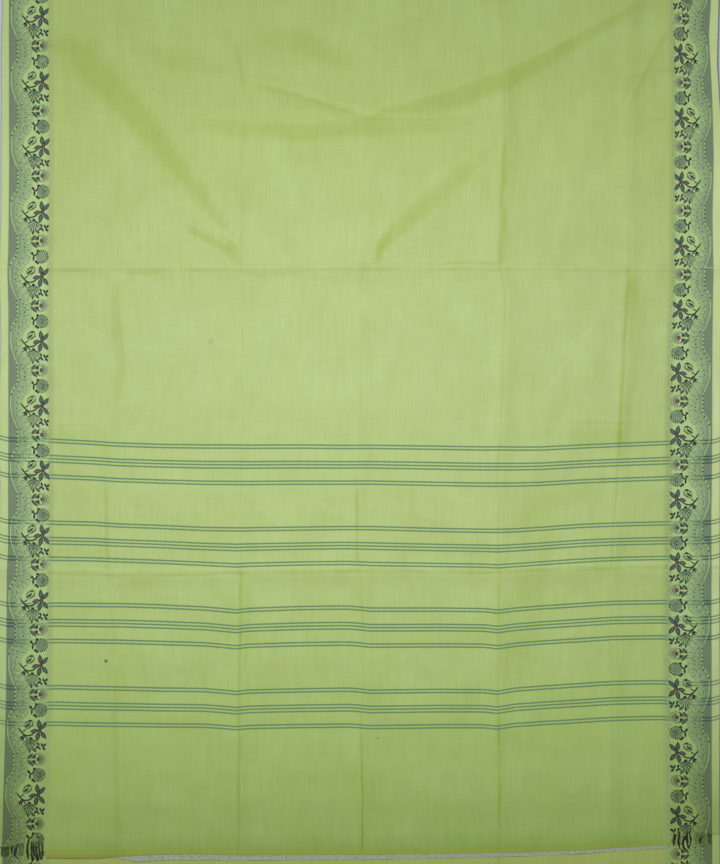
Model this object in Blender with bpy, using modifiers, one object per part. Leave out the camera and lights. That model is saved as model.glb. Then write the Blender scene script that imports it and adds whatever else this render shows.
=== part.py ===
# A cotton sari: one long handloom cloth laid back and forth in four flat layers,
# with its outer end uppermost and loose yarn fringes along that end.
import math
from collections import namedtuple

import bmesh
import bpy

# Cloth, in metres. X runs across the cloth, Y along it, Z up from the surface below.
LAYER_COUNT = 4
SHEET_THICKNESS = 0.001
LAYER_PITCH = 0.0023
FOLD_REACH = 0.697
FOLD_STEPS = 5
INNER_END_Y = -0.655
SIDE_SHIFTS = (0.0018, -0.0012, 0.0010, 0.0)  # sideways slip of each layer, lowest first

# Heights on the cloth at which the guide lines are given
GUIDE_LEVELS = (0.697, 0.257, 0.020, -0.217, -0.660)
Guide = namedtuple("Guide", "name top upper middle lower end rise")
GUIDES = (
    Guide("left_selvedge", -0.5600, -0.5608, -0.5616, -0.5632, -0.5663, 0.0),
    Guide("left_border_edge", -0.4880, -0.4888, -0.4896, -0.4912, -0.4943, 0.0),
    Guide("crease_1", -0.3775, -0.3770, -0.3713, -0.3960, -0.3790, 0.0030),
    Guide("crease_2", -0.1850, -0.1856, -0.1860, -0.1856, -0.1850, 0.0034),
    Guide("crease_3", 0.0094, 0.0062, 0.0062, 0.0047, 0.0031, 0.0026),
    Guide("crease_4", 0.2184, 0.2230, 0.2153, 0.2150, 0.2153, 0.0038),
    Guide("crease_5", 0.4134, 0.4134, 0.4134, 0.4056, 0.3993, 0.0032),
    Guide("right_border_edge", 0.4916, 0.4930, 0.4900, 0.4860, 0.4880, 0.0),
    Guide("right_selvedge", 0.5600, 0.5625, 0.5610, 0.5585, 0.5590, 0.0),
)

# Creases that run across the cloth, by their height at the left, middle and right
CrossCrease = namedtuple("CrossCrease", "name left middle right rise")
CROSS_CREASES = (
    CrossCrease("upper_crease", 0.256, 0.258, 0.256, 0.0036),
    CrossCrease("lower_crease", -0.219, -0.217, -0.211, 0.0032),
)
CREASE_HALF_WIDTH = 0.022
CREASE_COLUMN_OFFSETS = (-0.012, 0.0, 0.012)
HALF_WIDTH = 0.560

# Soft drag folds near the top of the upper layer, each a straight swell
DragFold = namedtuple("DragFold", "name start_x start_y stop_x stop_y half_width rise")
DRAG_FOLDS = (
    DragFold("left_shoulder", -0.500, 0.640, -0.406, 0.580, 0.050, 0.0035),
    DragFold("left_sweep", -0.406, 0.580, -0.187, 0.268, 0.055, 0.0045),
    DragFold("right_shoulder", 0.437, 0.674, 0.218, 0.557, 0.045, 0.0045),
    DragFold("swag", 0.218, 0.557, 0.008, 0.495, 0.040, 0.0040),
    DragFold("swag_tail", 0.008, 0.495, -0.172, 0.471, 0.038, 0.0030),
    DragFold("inner_sweep", 0.226, 0.440, 0.023, 0.276, 0.045, 0.0035),
    DragFold("outer_sweep", 0.476, 0.627, 0.281, 0.362, 0.050, 0.0030),
)

# The outer end: the border ends stop short and the middle runs on
EndPoint = namedtuple("EndPoint", "x y")
END_LINE = (
    EndPoint(-0.5700, -0.6412),
    EndPoint(-0.4943, -0.6412),
    EndPoint(-0.4905, -0.6660),
    EndPoint(-0.4050, -0.6640),
    EndPoint(-0.3790, -0.6590),
    EndPoint(0.0031, -0.6614),
    EndPoint(0.2153, -0.6575),
    EndPoint(0.3993, -0.6500),
    EndPoint(0.4840, -0.6450),
    EndPoint(0.4880, -0.6271),
    EndPoint(0.5700, -0.6271),
)
END_Y = -0.662
END_BLEND = 0.110  # length of cloth over which the rows turn to the slant of the end
FLAT_END_REACH = 0.600  # beyond this the layers lie flat under the fringes
FADE_LENGTH = 0.060

# Distances along the top layer and the hidden layers between rows
TOP_ROW_STEP = 0.042
HIDDEN_ROW_STEP = 0.110
PANEL_COLUMN_STEP = 0.052
ROW_OFFSETS_AT_CREASE = (-0.014, 0.0, 0.014)

# Fringes
FRINGE_GAP = 0.0003
FRINGE_THICKNESS = 0.001
Fringe = namedtuple(
    "Fringe",
    "name start_x stop_x strip pitch root_width tip_width left_length right_length sway steps",
)
FRINGES = (
    Fringe("fringe_left", -0.5640, -0.4960, 0.003, 0.004, 0.0026, 0.0016, 0.0265, 0.0245, 0.0016, 4),
    Fringe("fringe_middle", -0.3960, 0.4800, 0.002, 0.008, 0.0058, 0.0034, 0.0085, 0.0035, 0.0006, 1),
    Fringe("fringe_right", 0.4900, 0.5570, 0.003, 0.004, 0.0026, 0.0016, 0.0195, 0.0215, 0.0016, 4),
)
STRAND_WAVES = 1.3
PHASE_PER_METRE = 40.0  # how fast the waves slip from strand to strand
LENGTH_UNEVENNESS = 0.12

# Colours
Finish = namedtuple("Finish", "red green blue roughness")
FINISHES = {
    "leaf_green_cotton": Finish(0.42, 0.53, 0.19, 0.9),
    "border_yarn": Finish(0.12, 0.17, 0.13, 0.9),
    "bare_warp": Finish(0.42, 0.47, 0.33, 0.9),
}
COLLECTION_NAME = "cotton_sari"


def clear_scene():
    for item in list(bpy.data.objects):
        bpy.data.objects.remove(item)


def material(name):
    finish = FINISHES[name]
    made = bpy.data.materials.new(name)
    made.use_nodes = True
    shader = made.node_tree.nodes["Principled BSDF"]
    shader.inputs["Base Color"].default_value = (finish.red, finish.green, finish.blue, 1.0)
    shader.inputs["Roughness"].default_value = finish.roughness
    return made


def along(points, values, at):
    """Reads a value between points that rise in order."""
    if at <= points[0]:
        return values[0]
    for i in range(1, len(points)):
        if at <= points[i]:
            share = (at - points[i - 1]) / (points[i] - points[i - 1])
            return values[i - 1] + share * (values[i] - values[i - 1])
    return values[-1]


def swell(distance, half_width):
    reach = abs(distance) / half_width
    return (1.0 - reach * reach) ** 2 if reach < 1.0 else 0.0


def guide_x(guide, y):
    levels = tuple(reversed(GUIDE_LEVELS))
    return along(levels, (guide.end, guide.lower, guide.middle, guide.upper, guide.top), y)


def cross_crease_y(crease, x):
    return along((-HALF_WIDTH, 0.0, HALF_WIDTH), (crease.left, crease.middle, crease.right), x)


def flat_end_share(y):
    """One over the cloth, falling to nothing where the end and the lower folds lie flat."""
    share = (y + FLAT_END_REACH + FADE_LENGTH) / FADE_LENGTH
    return min(max(share, 0.0), 1.0)


def crease_rise(x, y):
    rises = [
        guide.rise * swell(x - guide_x(guide, y), CREASE_HALF_WIDTH)
        for guide in GUIDES
    ]
    rises += [
        crease.rise * swell(y - cross_crease_y(crease, x), CREASE_HALF_WIDTH)
        for crease in CROSS_CREASES
    ]
    return max(rises) * flat_end_share(y)


def drag_rise(x, y):
    rise = 0.0
    for fold in DRAG_FOLDS:
        run_x = fold.stop_x - fold.start_x
        run_y = fold.stop_y - fold.start_y
        length_squared = run_x * run_x + run_y * run_y
        share = ((x - fold.start_x) * run_x + (y - fold.start_y) * run_y) / length_squared
        share = min(max(share, 0.0), 1.0)
        near_x = fold.start_x + share * run_x
        near_y = fold.start_y + share * run_y
        distance = math.hypot(x - near_x, y - near_y)
        rise = max(rise, fold.rise * swell(distance, fold.half_width))
    return rise


def layer_height(layer, x, y):
    """Middle of a layer's thickness. Lower layers follow the creases less, so none touch."""
    height = SHEET_THICKNESS / 2 + layer * LAYER_PITCH
    height += crease_rise(x, y) * layer / (LAYER_COUNT - 1)
    if layer == LAYER_COUNT - 1:
        height += drag_rise(x, y)
    return height


def columns():
    """Places across the flat cloth: its guide lines, both sides of each crease and between."""
    middle = GUIDE_LEVELS.index(0.020)
    lines = [(guide[1 + middle], guide.rise) for guide in GUIDES]
    places = []
    for place, rise in lines:
        if rise > 0.0:
            places += [place + offset for offset in CREASE_COLUMN_OFFSETS]
        else:
            places.append(place)
    left_edge = lines[1][0]
    right_edge = lines[-2][0]
    step = END_LINE[2].x - END_LINE[1].x
    places += [left_edge + step, right_edge - step]
    places.sort()
    filled = [places[0]]
    for place in places[1:]:
        gap = place - filled[-1]
        count = max(1, round(gap / PANEL_COLUMN_STEP))
        start = filled[-1]
        filled += [start + gap * i / count for i in range(1, count + 1)]
    return filled


def column_x(place, y):
    """A flat cloth place, carried sideways with the guide lines that wander beside it."""
    flat = tuple(guide.middle for guide in GUIDES)
    return along(flat, tuple(guide_x(guide, y) for guide in GUIDES), place)


def run_rows(start, stop, step):
    """Heights between two ends, closer together at the cross creases."""
    marks = [start, stop]
    for crease in CROSS_CREASES:
        marks += [crease.middle + offset for offset in ROW_OFFSETS_AT_CREASE]
    marks.sort()
    rows = [marks[0]]
    for mark in marks[1:]:
        count = max(1, round((mark - rows[-1]) / step))
        low = rows[-1]
        rows += [low + (mark - low) * i / count for i in range(1, count + 1)]
    return rows if stop > start else rows[::-1]


def end_offset(x):
    return along(tuple(p.x for p in END_LINE), tuple(p.y for p in END_LINE), x) - END_Y


def run_point(layer, y, place):
    if layer == LAYER_COUNT - 1:
        turned = max(0.0, 1.0 - (y - END_Y) / END_BLEND)
        y += end_offset(column_x(place, END_Y)) * turned ** 2
    x = column_x(place, y)
    return x + SIDE_SHIFTS[layer], y, layer_height(layer, x, y)


def fold_point(layer, side, share, place):
    """A point on the half turn that joins a layer to the one below it."""
    upper = run_point(layer, side * FOLD_REACH, place)
    lower = run_point(layer - 1, side * FOLD_REACH, place)
    radius = (upper[2] - lower[2]) / 2
    turn = math.pi * share
    x = upper[0] + (lower[0] - upper[0]) * share
    y = side * (FOLD_REACH - radius + radius * math.sin(turn))
    return x, y, (upper[2] + lower[2]) / 2 + radius * math.cos(turn)


def cloth_rows():
    """The cloth's path from its outer end to its inner end, as functions of the place across."""
    rows = []
    side = 1
    for layer in range(LAYER_COUNT - 1, -1, -1):
        top = layer == LAYER_COUNT - 1
        start = END_Y if top else -side * (FOLD_REACH - LAYER_PITCH)
        stop = side * (FOLD_REACH - LAYER_PITCH) if layer else INNER_END_Y
        step = TOP_ROW_STEP if top else HIDDEN_ROW_STEP
        rows += [
            lambda place, layer=layer, y=y: run_point(layer, y, place)
            for y in run_rows(start, stop, step)
        ]
        if layer:
            rows += [
                lambda place, layer=layer, side=side, share=i / FOLD_STEPS: fold_point(
                    layer, side, share, place
                )
                for i in range(1, FOLD_STEPS)
            ]
        side = -side
    return rows


def cloth():
    places = columns()
    rows = cloth_rows()
    mesh = bpy.data.meshes.new("sari_cloth")
    bm = bmesh.new()
    bmesh.ops.create_grid(bm, x_segments=len(places) - 1, y_segments=len(rows) - 1, size=0.5)
    for vert in bm.verts:
        column = round((vert.co.x + 0.5) * (len(places) - 1))
        row = round((vert.co.y + 0.5) * (len(rows) - 1))
        vert.co = rows[row](places[column])
    bm.to_mesh(mesh)
    bm.free()
    made = bpy.data.objects.new("sari_cloth", mesh)
    solid = made.modifiers.new("thickness", "SOLIDIFY")
    solid.thickness = SHEET_THICKNESS
    solid.offset = 0.0
    solid.use_even_offset = True
    return made


def end_edge():
    """The outer edge of the cloth as it is modelled, which the fringes follow."""
    return [run_point(LAYER_COUNT - 1, END_Y, place) for place in columns()]


def strand_side(fringe, centre, root_y, length, side):
    """Points down one side of a strand, from its root to its tip."""
    points = []
    for i in range(fringe.steps + 1):
        share = i / fringe.steps
        half_width = (fringe.root_width + share * (fringe.tip_width - fringe.root_width)) / 2
        turn = 2 * math.pi * STRAND_WAVES * share + centre * PHASE_PER_METRE
        sway = fringe.sway * share * math.sin(turn)
        points.append((centre + sway + side * half_width, root_y - length * share))
    return points


def fringe_outline(fringe, edge):
    """Once round a comb: along the strip at the cloth, then back over its strands."""
    edge_x = tuple(point[0] for point in edge)
    edge_y = tuple(point[1] for point in edge)
    count = round((fringe.stop_x - fringe.start_x) / fringe.pitch)
    pitch = (fringe.stop_x - fringe.start_x) / count
    strip_line = [
        (fringe.start_x + pitch * i, along(edge_x, edge_y, fringe.start_x + pitch * i) - FRINGE_GAP)
        for i in range(count + 1)
    ]
    outline = list(strip_line)
    for i in range(count - 1, -1, -1):
        centre = fringe.start_x + pitch * (i + 0.5)
        root_y = along(edge_x, edge_y, centre) - FRINGE_GAP - fringe.strip
        share = (i + 0.5) / count
        length = fringe.left_length + share * (fringe.right_length - fringe.left_length)
        length *= 1.0 + LENGTH_UNEVENNESS * math.sin(2.4 * i) * math.cos(0.7 * i)
        if i == count - 1:
            outline.append((fringe.stop_x, root_y))
        outline += strand_side(fringe, centre, root_y, length, 1)
        outline += reversed(strand_side(fringe, centre, root_y, length, -1))
        if i == 0:
            outline.append((fringe.start_x, root_y))
    return outline


def fringe_comb(fringe, edge):
    outline = fringe_outline(fringe, edge)
    curve = bpy.data.curves.new(fringe.name + "_outline", "CURVE")
    curve.dimensions = "2D"
    curve.fill_mode = "BOTH"
    curve.extrude = FRINGE_THICKNESS / 2
    spline = curve.splines.new("POLY")
    spline.points.add(len(outline) - 1)
    for point, place in zip(spline.points, outline):
        point.co = (place[0], place[1], 0.0, 1.0)
    spline.use_cyclic_u = True
    drawn = bpy.data.objects.new(fringe.name + "_outline", curve)
    mesh = bpy.data.meshes.new_from_object(drawn)
    bpy.data.objects.remove(drawn)
    mesh.name = fringe.name
    bm = bmesh.new()
    bm.from_mesh(mesh)
    bmesh.ops.remove_doubles(bm, verts=bm.verts, dist=0.00005)
    bmesh.ops.recalc_face_normals(bm, faces=bm.faces)
    bm.to_mesh(mesh)
    bm.free()
    made = bpy.data.objects.new(fringe.name, mesh)
    made.location.z = SHEET_THICKNESS / 2 + (LAYER_COUNT - 1) * LAYER_PITCH
    return made


def main():
    clear_scene()
    collection = bpy.data.collections.new(COLLECTION_NAME)
    bpy.context.scene.collection.children.link(collection)
    edge = end_edge()
    pieces = [(cloth(), material("leaf_green_cotton"))]
    border_yarn = material("border_yarn")
    bare_warp = material("bare_warp")
    for fringe in FRINGES:
        yarn = bare_warp if fringe.name == "fringe_middle" else border_yarn
        pieces.append((fringe_comb(fringe, edge), yarn))
    for piece, yarn in pieces:
        piece.data.materials.clear()
        piece.data.materials.append(yarn)
        collection.objects.link(piece)


main()
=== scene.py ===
import math

import bpy
import numpy as np
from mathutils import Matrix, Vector


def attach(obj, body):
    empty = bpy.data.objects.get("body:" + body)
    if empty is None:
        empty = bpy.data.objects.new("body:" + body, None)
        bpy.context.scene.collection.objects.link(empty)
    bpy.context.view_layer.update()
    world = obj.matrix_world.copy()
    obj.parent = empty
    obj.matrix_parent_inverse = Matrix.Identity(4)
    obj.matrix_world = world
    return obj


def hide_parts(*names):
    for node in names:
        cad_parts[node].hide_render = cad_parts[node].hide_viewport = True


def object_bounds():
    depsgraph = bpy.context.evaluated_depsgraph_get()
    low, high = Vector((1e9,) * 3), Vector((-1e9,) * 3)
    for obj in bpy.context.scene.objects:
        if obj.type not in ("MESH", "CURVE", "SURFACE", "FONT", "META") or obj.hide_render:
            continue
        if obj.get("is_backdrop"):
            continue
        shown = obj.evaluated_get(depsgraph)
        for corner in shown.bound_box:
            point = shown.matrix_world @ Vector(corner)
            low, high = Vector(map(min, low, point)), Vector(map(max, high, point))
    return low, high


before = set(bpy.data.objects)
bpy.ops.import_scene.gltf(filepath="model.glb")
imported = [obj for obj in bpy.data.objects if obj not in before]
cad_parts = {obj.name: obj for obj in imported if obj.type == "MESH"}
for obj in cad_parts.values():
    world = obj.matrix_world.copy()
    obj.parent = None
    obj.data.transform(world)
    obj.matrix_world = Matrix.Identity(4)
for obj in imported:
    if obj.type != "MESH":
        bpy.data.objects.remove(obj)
cadLow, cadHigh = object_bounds()
mm = 0.001


# Node building

class Wire:  # an output socket that can be added, scaled and compared like a number
    def __init__(self, maker, socket):
        self.maker, self.socket = maker, socket

    def math(self, operation, *values):
        return self.maker.node("ShaderNodeMath", {"operation": operation}, dict(enumerate(values)))[0]

    def __add__(self, other):
        return self.math("ADD", self, other)

    def __radd__(self, other):
        return self.math("ADD", other, self)

    def __sub__(self, other):
        return self.math("SUBTRACT", self, other)

    def __rsub__(self, other):
        return self.math("SUBTRACT", other, self)

    def __mul__(self, other):
        return self.math("MULTIPLY", self, other)

    def __rmul__(self, other):
        return self.math("MULTIPLY", other, self)

    def __truediv__(self, other):
        return self.math("DIVIDE", self, other)

    def near(self, centre, halfWidth):  # 1 at the centre, 0 past the half width, soft between
        away = self - centre
        share = away.math("ABSOLUTE", away) / halfWidth
        return (1 - share).step(0.0, 0.6)

    def step(self, low, high):  # 0 below low, 1 above high, soft between
        return self.maker.node("ShaderNodeMapRange", {"interpolation_type": "SMOOTHSTEP"},
                               {"Value": self, "From Min": low, "From Max": high})[0]


class Outputs:  # the output sockets of a new node, by number or name
    def __init__(self, maker, made):
        self.maker, self.made = maker, made

    def __getitem__(self, name):
        return Wire(self.maker, self.maker.find(self.made.outputs, name))


class Maker:  # adds nodes to one tree
    def __init__(self, tree):
        self.tree = tree

    def find(self, sockets, name):
        if isinstance(name, int):
            return [socket for socket in sockets if socket.enabled][name]
        return next(s for s in sockets if s.enabled and name in (s.identifier, s.name))

    def node(self, kind, settings=None, values=None):
        made = self.tree.nodes.new(kind)
        for name, value in (settings or {}).items():
            if name == "stops":
                self.setStops(made.color_ramp, value)
            else:
                setattr(made, name, value)
        for name, value in (values or {}).items():
            socket = self.find(made.inputs, name)
            if isinstance(value, Wire):
                self.tree.links.new(value.socket, socket)
            else:
                socket.default_value = value
        return Outputs(self, made)

    def setStops(self, ramp, stops):
        while len(ramp.elements) < len(stops):
            ramp.elements.new(1)
        for element, (place, colour) in zip(ramp.elements, stops):
            element.position, element.color = place, colour

    def vector(self, x=0.0, y=0.0, z=0.0):
        return self.node("ShaderNodeCombineXYZ", {}, {"X": x, "Y": y, "Z": z})[0]

    def tint(self, red, green, blue):
        return self.node("ShaderNodeCombineColor", {}, {"Red": red, "Green": green, "Blue": blue})[0]

    def mix(self, factor, first, second, blend="MIX"):
        return self.node("ShaderNodeMix", {"data_type": "RGBA", "blend_type": blend},
                         {"Factor_Float": factor, "A_Color": first, "B_Color": second})["Result_Color"]

    def noise(self, place, scale, detail=2.0):
        return self.node("ShaderNodeTexNoise", {}, {"Vector": place, "Scale": scale, "Detail": detail})[0]


def shown(red, green, blue):  # a colour as a screen shows it, 0 to 255, made linear
    parts = [part / 255 for part in (red, green, blue)]
    return tuple(p / 12.92 if p <= 0.04045 else ((p + 0.055) / 1.055) ** 2.4 for p in parts) + (1.0,)


def newMaterial(name, roughness=0.9, specular=0.15):
    material = bpy.data.materials.new(name)
    material.use_nodes = True
    shader = material.node_tree.nodes["Principled BSDF"]
    shader.inputs["Roughness"].default_value = roughness
    shader.inputs["Specular IOR Level"].default_value = specular
    return material, shader, Maker(material.node_tree)


def newPiece(name, points, faces, material=None):
    mesh = bpy.data.meshes.new(name)
    mesh.from_pydata(points, [], faces)
    piece = bpy.data.objects.new(name, mesh)
    bpy.context.scene.collection.objects.link(piece)
    if material:
        mesh.materials.append(material)
    return piece


def newLines(name, points, links):  # a piece of bare edges
    piece = newPiece(name, points, [])
    piece.data.edges.add(len(links))
    piece.data.edges.foreach_set("vertices", [k for link in links for k in link])
    return piece


# The cloth: its run, its creases and how its weft lines sag

cloth = {
    "width": 1.1226,  # selvedge to selvedge, along a weft line
    "thickness": 0.45 * mm,
    "pitch": 2.3 * mm,  # from layer to layer
    "foot": 0.3 * mm,  # room for the border's yarns under the lowest layer
    "layers": 4,
    "foldReach": 0.697,  # folds, from the middle of the cloth
    "innerEnd": -0.655,
    "endHeight": -0.6614,  # woven end, at mid width
    "sideShifts": (0.5 * mm, -0.4 * mm, 0.3 * mm, 0.0),  # lowest layer first
    "columnStep": 10 * mm,
    "rowStep": 9 * mm,
    "hiddenRowStep": 70 * mm,
    "foldSteps": 6,
    "endBlend": 0.110,  # over this the rows turn to follow the cut end
    "flatEnd": -0.600,  # past this the layers lie flat under the loose yarns
    "fade": 0.060,
    "uneven": 0.42 * mm,
    "edgeWave": 0.8 * mm,  # rise of the loose selvedges
    "edgeReach": 15 * mm,
    "settleStart": -0.575,  # from here the outer end comes down onto the layer below
    "settleLength": 0.045,
    "settleDrop": 1.4 * mm,
    "rim": 0.6 * mm,  # narrow columns and row beside the edges, which keep the shading crisp
}
unevenWaves = {"seed": 7, "count": 16, "shortest": 0.035, "longest": 0.16, "share": 0.25}

guides = {  # flat place across the cloth, then where it lies at each height up the cloth
    "leftSelvedge": (-0.5616, (
        (0.697, -0.5560), (0.619, -0.5585), (0.338, -0.5593), (0.292, -0.5610), (0.245, -0.5616),
        (0.151, -0.5597), (0.058, -0.5613), (-0.036, -0.5616), (-0.083, -0.5606), (-0.223, -0.5634),
        (-0.457, -0.5650), (-0.660, -0.5712))),
    "leftBandStart": (-0.5491, (
        (0.697, -0.5476), (0.430, -0.5471), (0.292, -0.5483), (0.245, -0.5496), (0.198, -0.5485),
        (0.105, -0.5482), (-0.176, -0.5488), (-0.223, -0.5507), (-0.410, -0.5519), (-0.660, -0.5588))),
    "leftBorderEdge": (-0.4876, (
        (0.697, -0.4862), (0.546, -0.4859), (0.445, -0.4848), (0.198, -0.4870), (0.040, -0.4863),
        (-0.059, -0.4848), (-0.206, -0.4856), (-0.262, -0.4869), (-0.409, -0.4880), (-0.509, -0.4911),
        (-0.660, -0.4942))),
    "crease1": (-0.3713, (
        (0.697, -0.3775), (0.257, -0.3780), (0.200, -0.3790), (0.125, -0.3720), (0.040, -0.3700),
        (0.000, -0.3900), (-0.217, -0.3950), (-0.300, -0.3850), (-0.660, -0.3775))),
    "crease2": (-0.1860, (
        (0.697, -0.1850), (0.264, -0.1857), (0.231, -0.1817), (-0.418, -0.1880), (-0.660, -0.1888))),
    "crease3": (0.0062, (
        (0.697, 0.0094), (0.257, 0.0055), (0.230, 0.0012), (0.028, 0.0016), (-0.089, -0.0047),
        (-0.206, -0.0039), (-0.240, 0.0047), (-0.400, 0.0055), (-0.455, 0.0030), (-0.660, 0.0040))),
    "crease4": (0.2153, (
        (0.697, 0.2184), (0.595, 0.2250), (0.451, 0.2262), (0.264, 0.2170), (0.215, 0.2280),
        (0.061, 0.2230), (-0.028, 0.2184), (-0.217, 0.2160), (-0.359, 0.2160), (-0.660, 0.2176))),
    "crease5": (0.4134, (
        (0.697, 0.4200), (0.264, 0.4200), (-0.025, 0.4050), (-0.217, 0.3925), (-0.660, 0.3950))),
    "rightBorderEdge": (0.4900, (
        (0.697, 0.4910), (0.546, 0.4942), (0.345, 0.4944), (0.246, 0.4937), (0.148, 0.4898),
        (0.050, 0.4877), (-0.203, 0.4877), (-0.246, 0.4863), (-0.399, 0.4858), (-0.543, 0.4884),
        (-0.660, 0.4890))),
    "rightBandStart": (0.5485, (
        (0.697, 0.5476), (0.666, 0.5468), (0.619, 0.5440), (0.526, 0.5490), (0.432, 0.5516),
        (0.339, 0.5497), (0.245, 0.5510), (0.151, 0.5496), (-0.036, 0.5490), (-0.130, 0.5479),
        (-0.551, 0.5485), (-0.660, 0.5495))),
    "rightSelvedge": (0.5610, (
        (0.697, 0.5600), (0.573, 0.5568), (0.479, 0.5628), (0.432, 0.5638), (0.339, 0.5626),
        (0.245, 0.5634), (0.151, 0.5620), (-0.246, 0.5606), (-0.410, 0.5612), (-0.551, 0.5602),
        (-0.660, 0.5612))),
}
creases = {  # on the top, middle and lower panel: sharpness (ridge +, furrow -), painted olive shade beside it
    "crease1": {"swell": 3.0 * mm, "sharp": (-0.25, -0.25, -0.40), "bloom": (0.10, 0.15, 0.10)},
    "crease2": {"swell": 3.4 * mm, "sharp": (-0.20, -0.35, -0.80), "bloom": (0.05, 0.05, 0.15)},
    "crease3": {"swell": 2.6 * mm, "sharp": (-0.10, -0.35, -0.50), "bloom": (0.0, 0.10, 0.08)},
    "crease4": {"swell": 3.8 * mm, "sharp": (-0.30, -0.45, -0.70), "bloom": (0.12, 0.08, 0.20)},
    "crease5": {"swell": 3.2 * mm, "sharp": (-0.10, -0.60, -0.30), "bloom": (0.05, 0.20, 0.05)},
}
crossGuides = ("leftSelvedge", "crease1", "crease2", "crease3", "crease4", "crease5", "rightSelvedge")
crossCreases = {  # height at each of the cross guides, then its lines: offset, sharpness, painted shade (+) or painted highlight (-)
    "upper": {"swell": 3.6 * mm, "heights": (0.2574, 0.2574, 0.2560, 0.2574, 0.2574, 0.2550, 0.2550),
              "lines": ((4.8 * mm, -0.25, 0.55), (-4.6 * mm, -0.35, 0.80), (0.4 * mm, 0.45, -0.30))},
    "lower": {"swell": 3.2 * mm, "heights": (-0.2170, -0.2239, -0.2200, -0.2170, -0.2184, -0.2114, -0.2114),
              "lines": ((5.0 * mm, 0.6, -0.70), (-1.8 * mm, -0.4, 0.90))},
}
creaseShape = {
    "halfWidth": 22 * mm,
    "swellKept": 0.45,  # share of the solid's soft swell that the thin cloth shows
    "sharpHeight": 0.9 * mm,
    "sharpWidth": 2.8 * mm,
    "offsets": (1.3 * mm, 2.6 * mm, 4.6 * mm, 8 * mm, 14 * mm),  # extra columns on each side
    # width of the painted shade along a crease line
    "tintWidth": 1.4 * mm,
    # place and width of the painted olive shade beside a crease
    "bloomShift": 4 * mm,
    "bloomWidth": 9 * mm,
    "wander": 0.8 * mm,
    "panelBlend": 4 * mm,
    "rowReach": 0.12,  # within this the rows bend towards a cross crease
}
creaseDrift = {  # length of the slow wave in each
    "wander": 0.21, "sharp": 0.13, "bloom": 0.17, "crossWander": 0.16, "crossSharp": 0.22,
}
dragFolds = {  # soft swells where the cloth was drawn up at its corners: from, to, half width, rise
    "leftShoulder": ((-0.500, 0.640), (-0.406, 0.580), 0.050, 1.6 * mm),
    "leftSweep": ((-0.406, 0.580), (-0.187, 0.268), 0.055, 2.2 * mm),
    "rightShoulder": ((0.437, 0.674), (0.218, 0.557), 0.045, 2.2 * mm),
    "swag": ((0.218, 0.557), (0.008, 0.495), 0.040, 2.0 * mm),
    "swagTail": ((0.008, 0.495), (-0.172, 0.471), 0.038, 1.4 * mm),
    "innerSweep": ((0.226, 0.440), (0.023, 0.276), 0.045, 1.7 * mm),
    "outerSweep": ((0.476, 0.627), (0.281, 0.362), 0.050, 1.5 * mm),
}
pulls = {  # narrow bands of painted shade on those swells, a little raised: place across and up, half width in mm, strength
    "leftSweep": ((-0.456, 0.602, 25, 0.35), (-0.431, 0.58, 33, 0.6), (-0.399, 0.549, 31, 0.75),
                  (-0.342, 0.485, 25, 0.8), (-0.282, 0.41, 19, 0.75), (-0.245, 0.363, 12, 0.7),
                  (-0.215, 0.325, 8, 0.55), (-0.193, 0.284, 6, 0.8)),
    "leftShoulder": ((-0.48, 0.605, 11, 0.25), (-0.412, 0.605, 19, 0.4)),
    "darkPatch": ((-0.346, 0.601, 16, 0.2), (-0.289, 0.58, 22, 0.38), (-0.206, 0.565, 14, 0.25)),
    "leftArm": ((-0.153, 0.618, 17, 0.3), (-0.086, 0.604, 25, 0.45), (-0.022, 0.58, 19, 0.35)),
    "leftArmLow": ((-0.182, 0.549, 8, 0.2), (-0.094, 0.518, 11, 0.4), (-0.023, 0.498, 9, 0.45)),
    "lowerArm": ((-0.27, 0.48, 9, 0.25), (-0.182, 0.471, 16, 0.5), (-0.094, 0.466, 17, 0.65),
                 (-0.016, 0.473, 16, 0.65), (0.062, 0.474, 14, 0.5), (0.125, 0.479, 11, 0.35),
                 (0.178, 0.484, 6, 0.15)),
    "rightArm": ((0.019, 0.494, 6, 0.6), (0.062, 0.504, 12, 0.6), (0.143, 0.518, 20, 0.65),
                 (0.226, 0.549, 20, 0.7), (0.309, 0.593, 16, 0.65), (0.374, 0.632, 12, 0.55),
                 (0.44, 0.669, 9, 0.4)),
    "innerSweep": ((0.211, 0.445, 8, 0.25), (0.161, 0.407, 16, 0.5), (0.117, 0.365, 19, 0.6),
                   (0.064, 0.323, 17, 0.7), (0.037, 0.295, 11, 0.75), (0.025, 0.267, 6, 0.7)),
    "creaseOneSide": ((-0.385, 0.222, 8, 0.35), (-0.378, 0.159, 11, 0.5), (-0.371, 0.103, 9, 0.45),
                      (-0.378, 0.044, 6, 0.2)),
    "creaseFiveSide": ((0.426, 0.237, 12, 0.45), (0.434, 0.178, 16, 0.45), (0.427, 0.112, 11, 0.3),
                       (0.415, 0.034, 8, 0.3)),
    "cornerLeft": ((-0.484, -0.003, 14, 0.3), (-0.406, -0.003, 14, 0.3)),
    "cornerRight": ((0.334, -0.003, 17, 0.4), (0.403, -0.009, 17, 0.45)),
    "shadeLow": ((0.275, -0.060, 34, 0.12), (0.272, -0.150, 38, 0.26), (0.262, -0.290, 34, 0.26),
                 (0.265, -0.390, 26, 0.12)),
    "shadeRight": ((0.374, -0.078, 16, 0.2), (0.293, -0.111, 20, 0.35), (0.25, -0.131, 12, 0.2)),
}
pullRise = 0.5 * mm
weftPlaces = (
    -0.5, -0.476, -0.413, -0.378, -0.312, -0.242, -0.192, -0.176, -0.094, -0.023, -0.005, 0.016, 0.125,
    0.195, 0.214, 0.242, 0.281, 0.343, 0.395, 0.468, 0.5)
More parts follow.
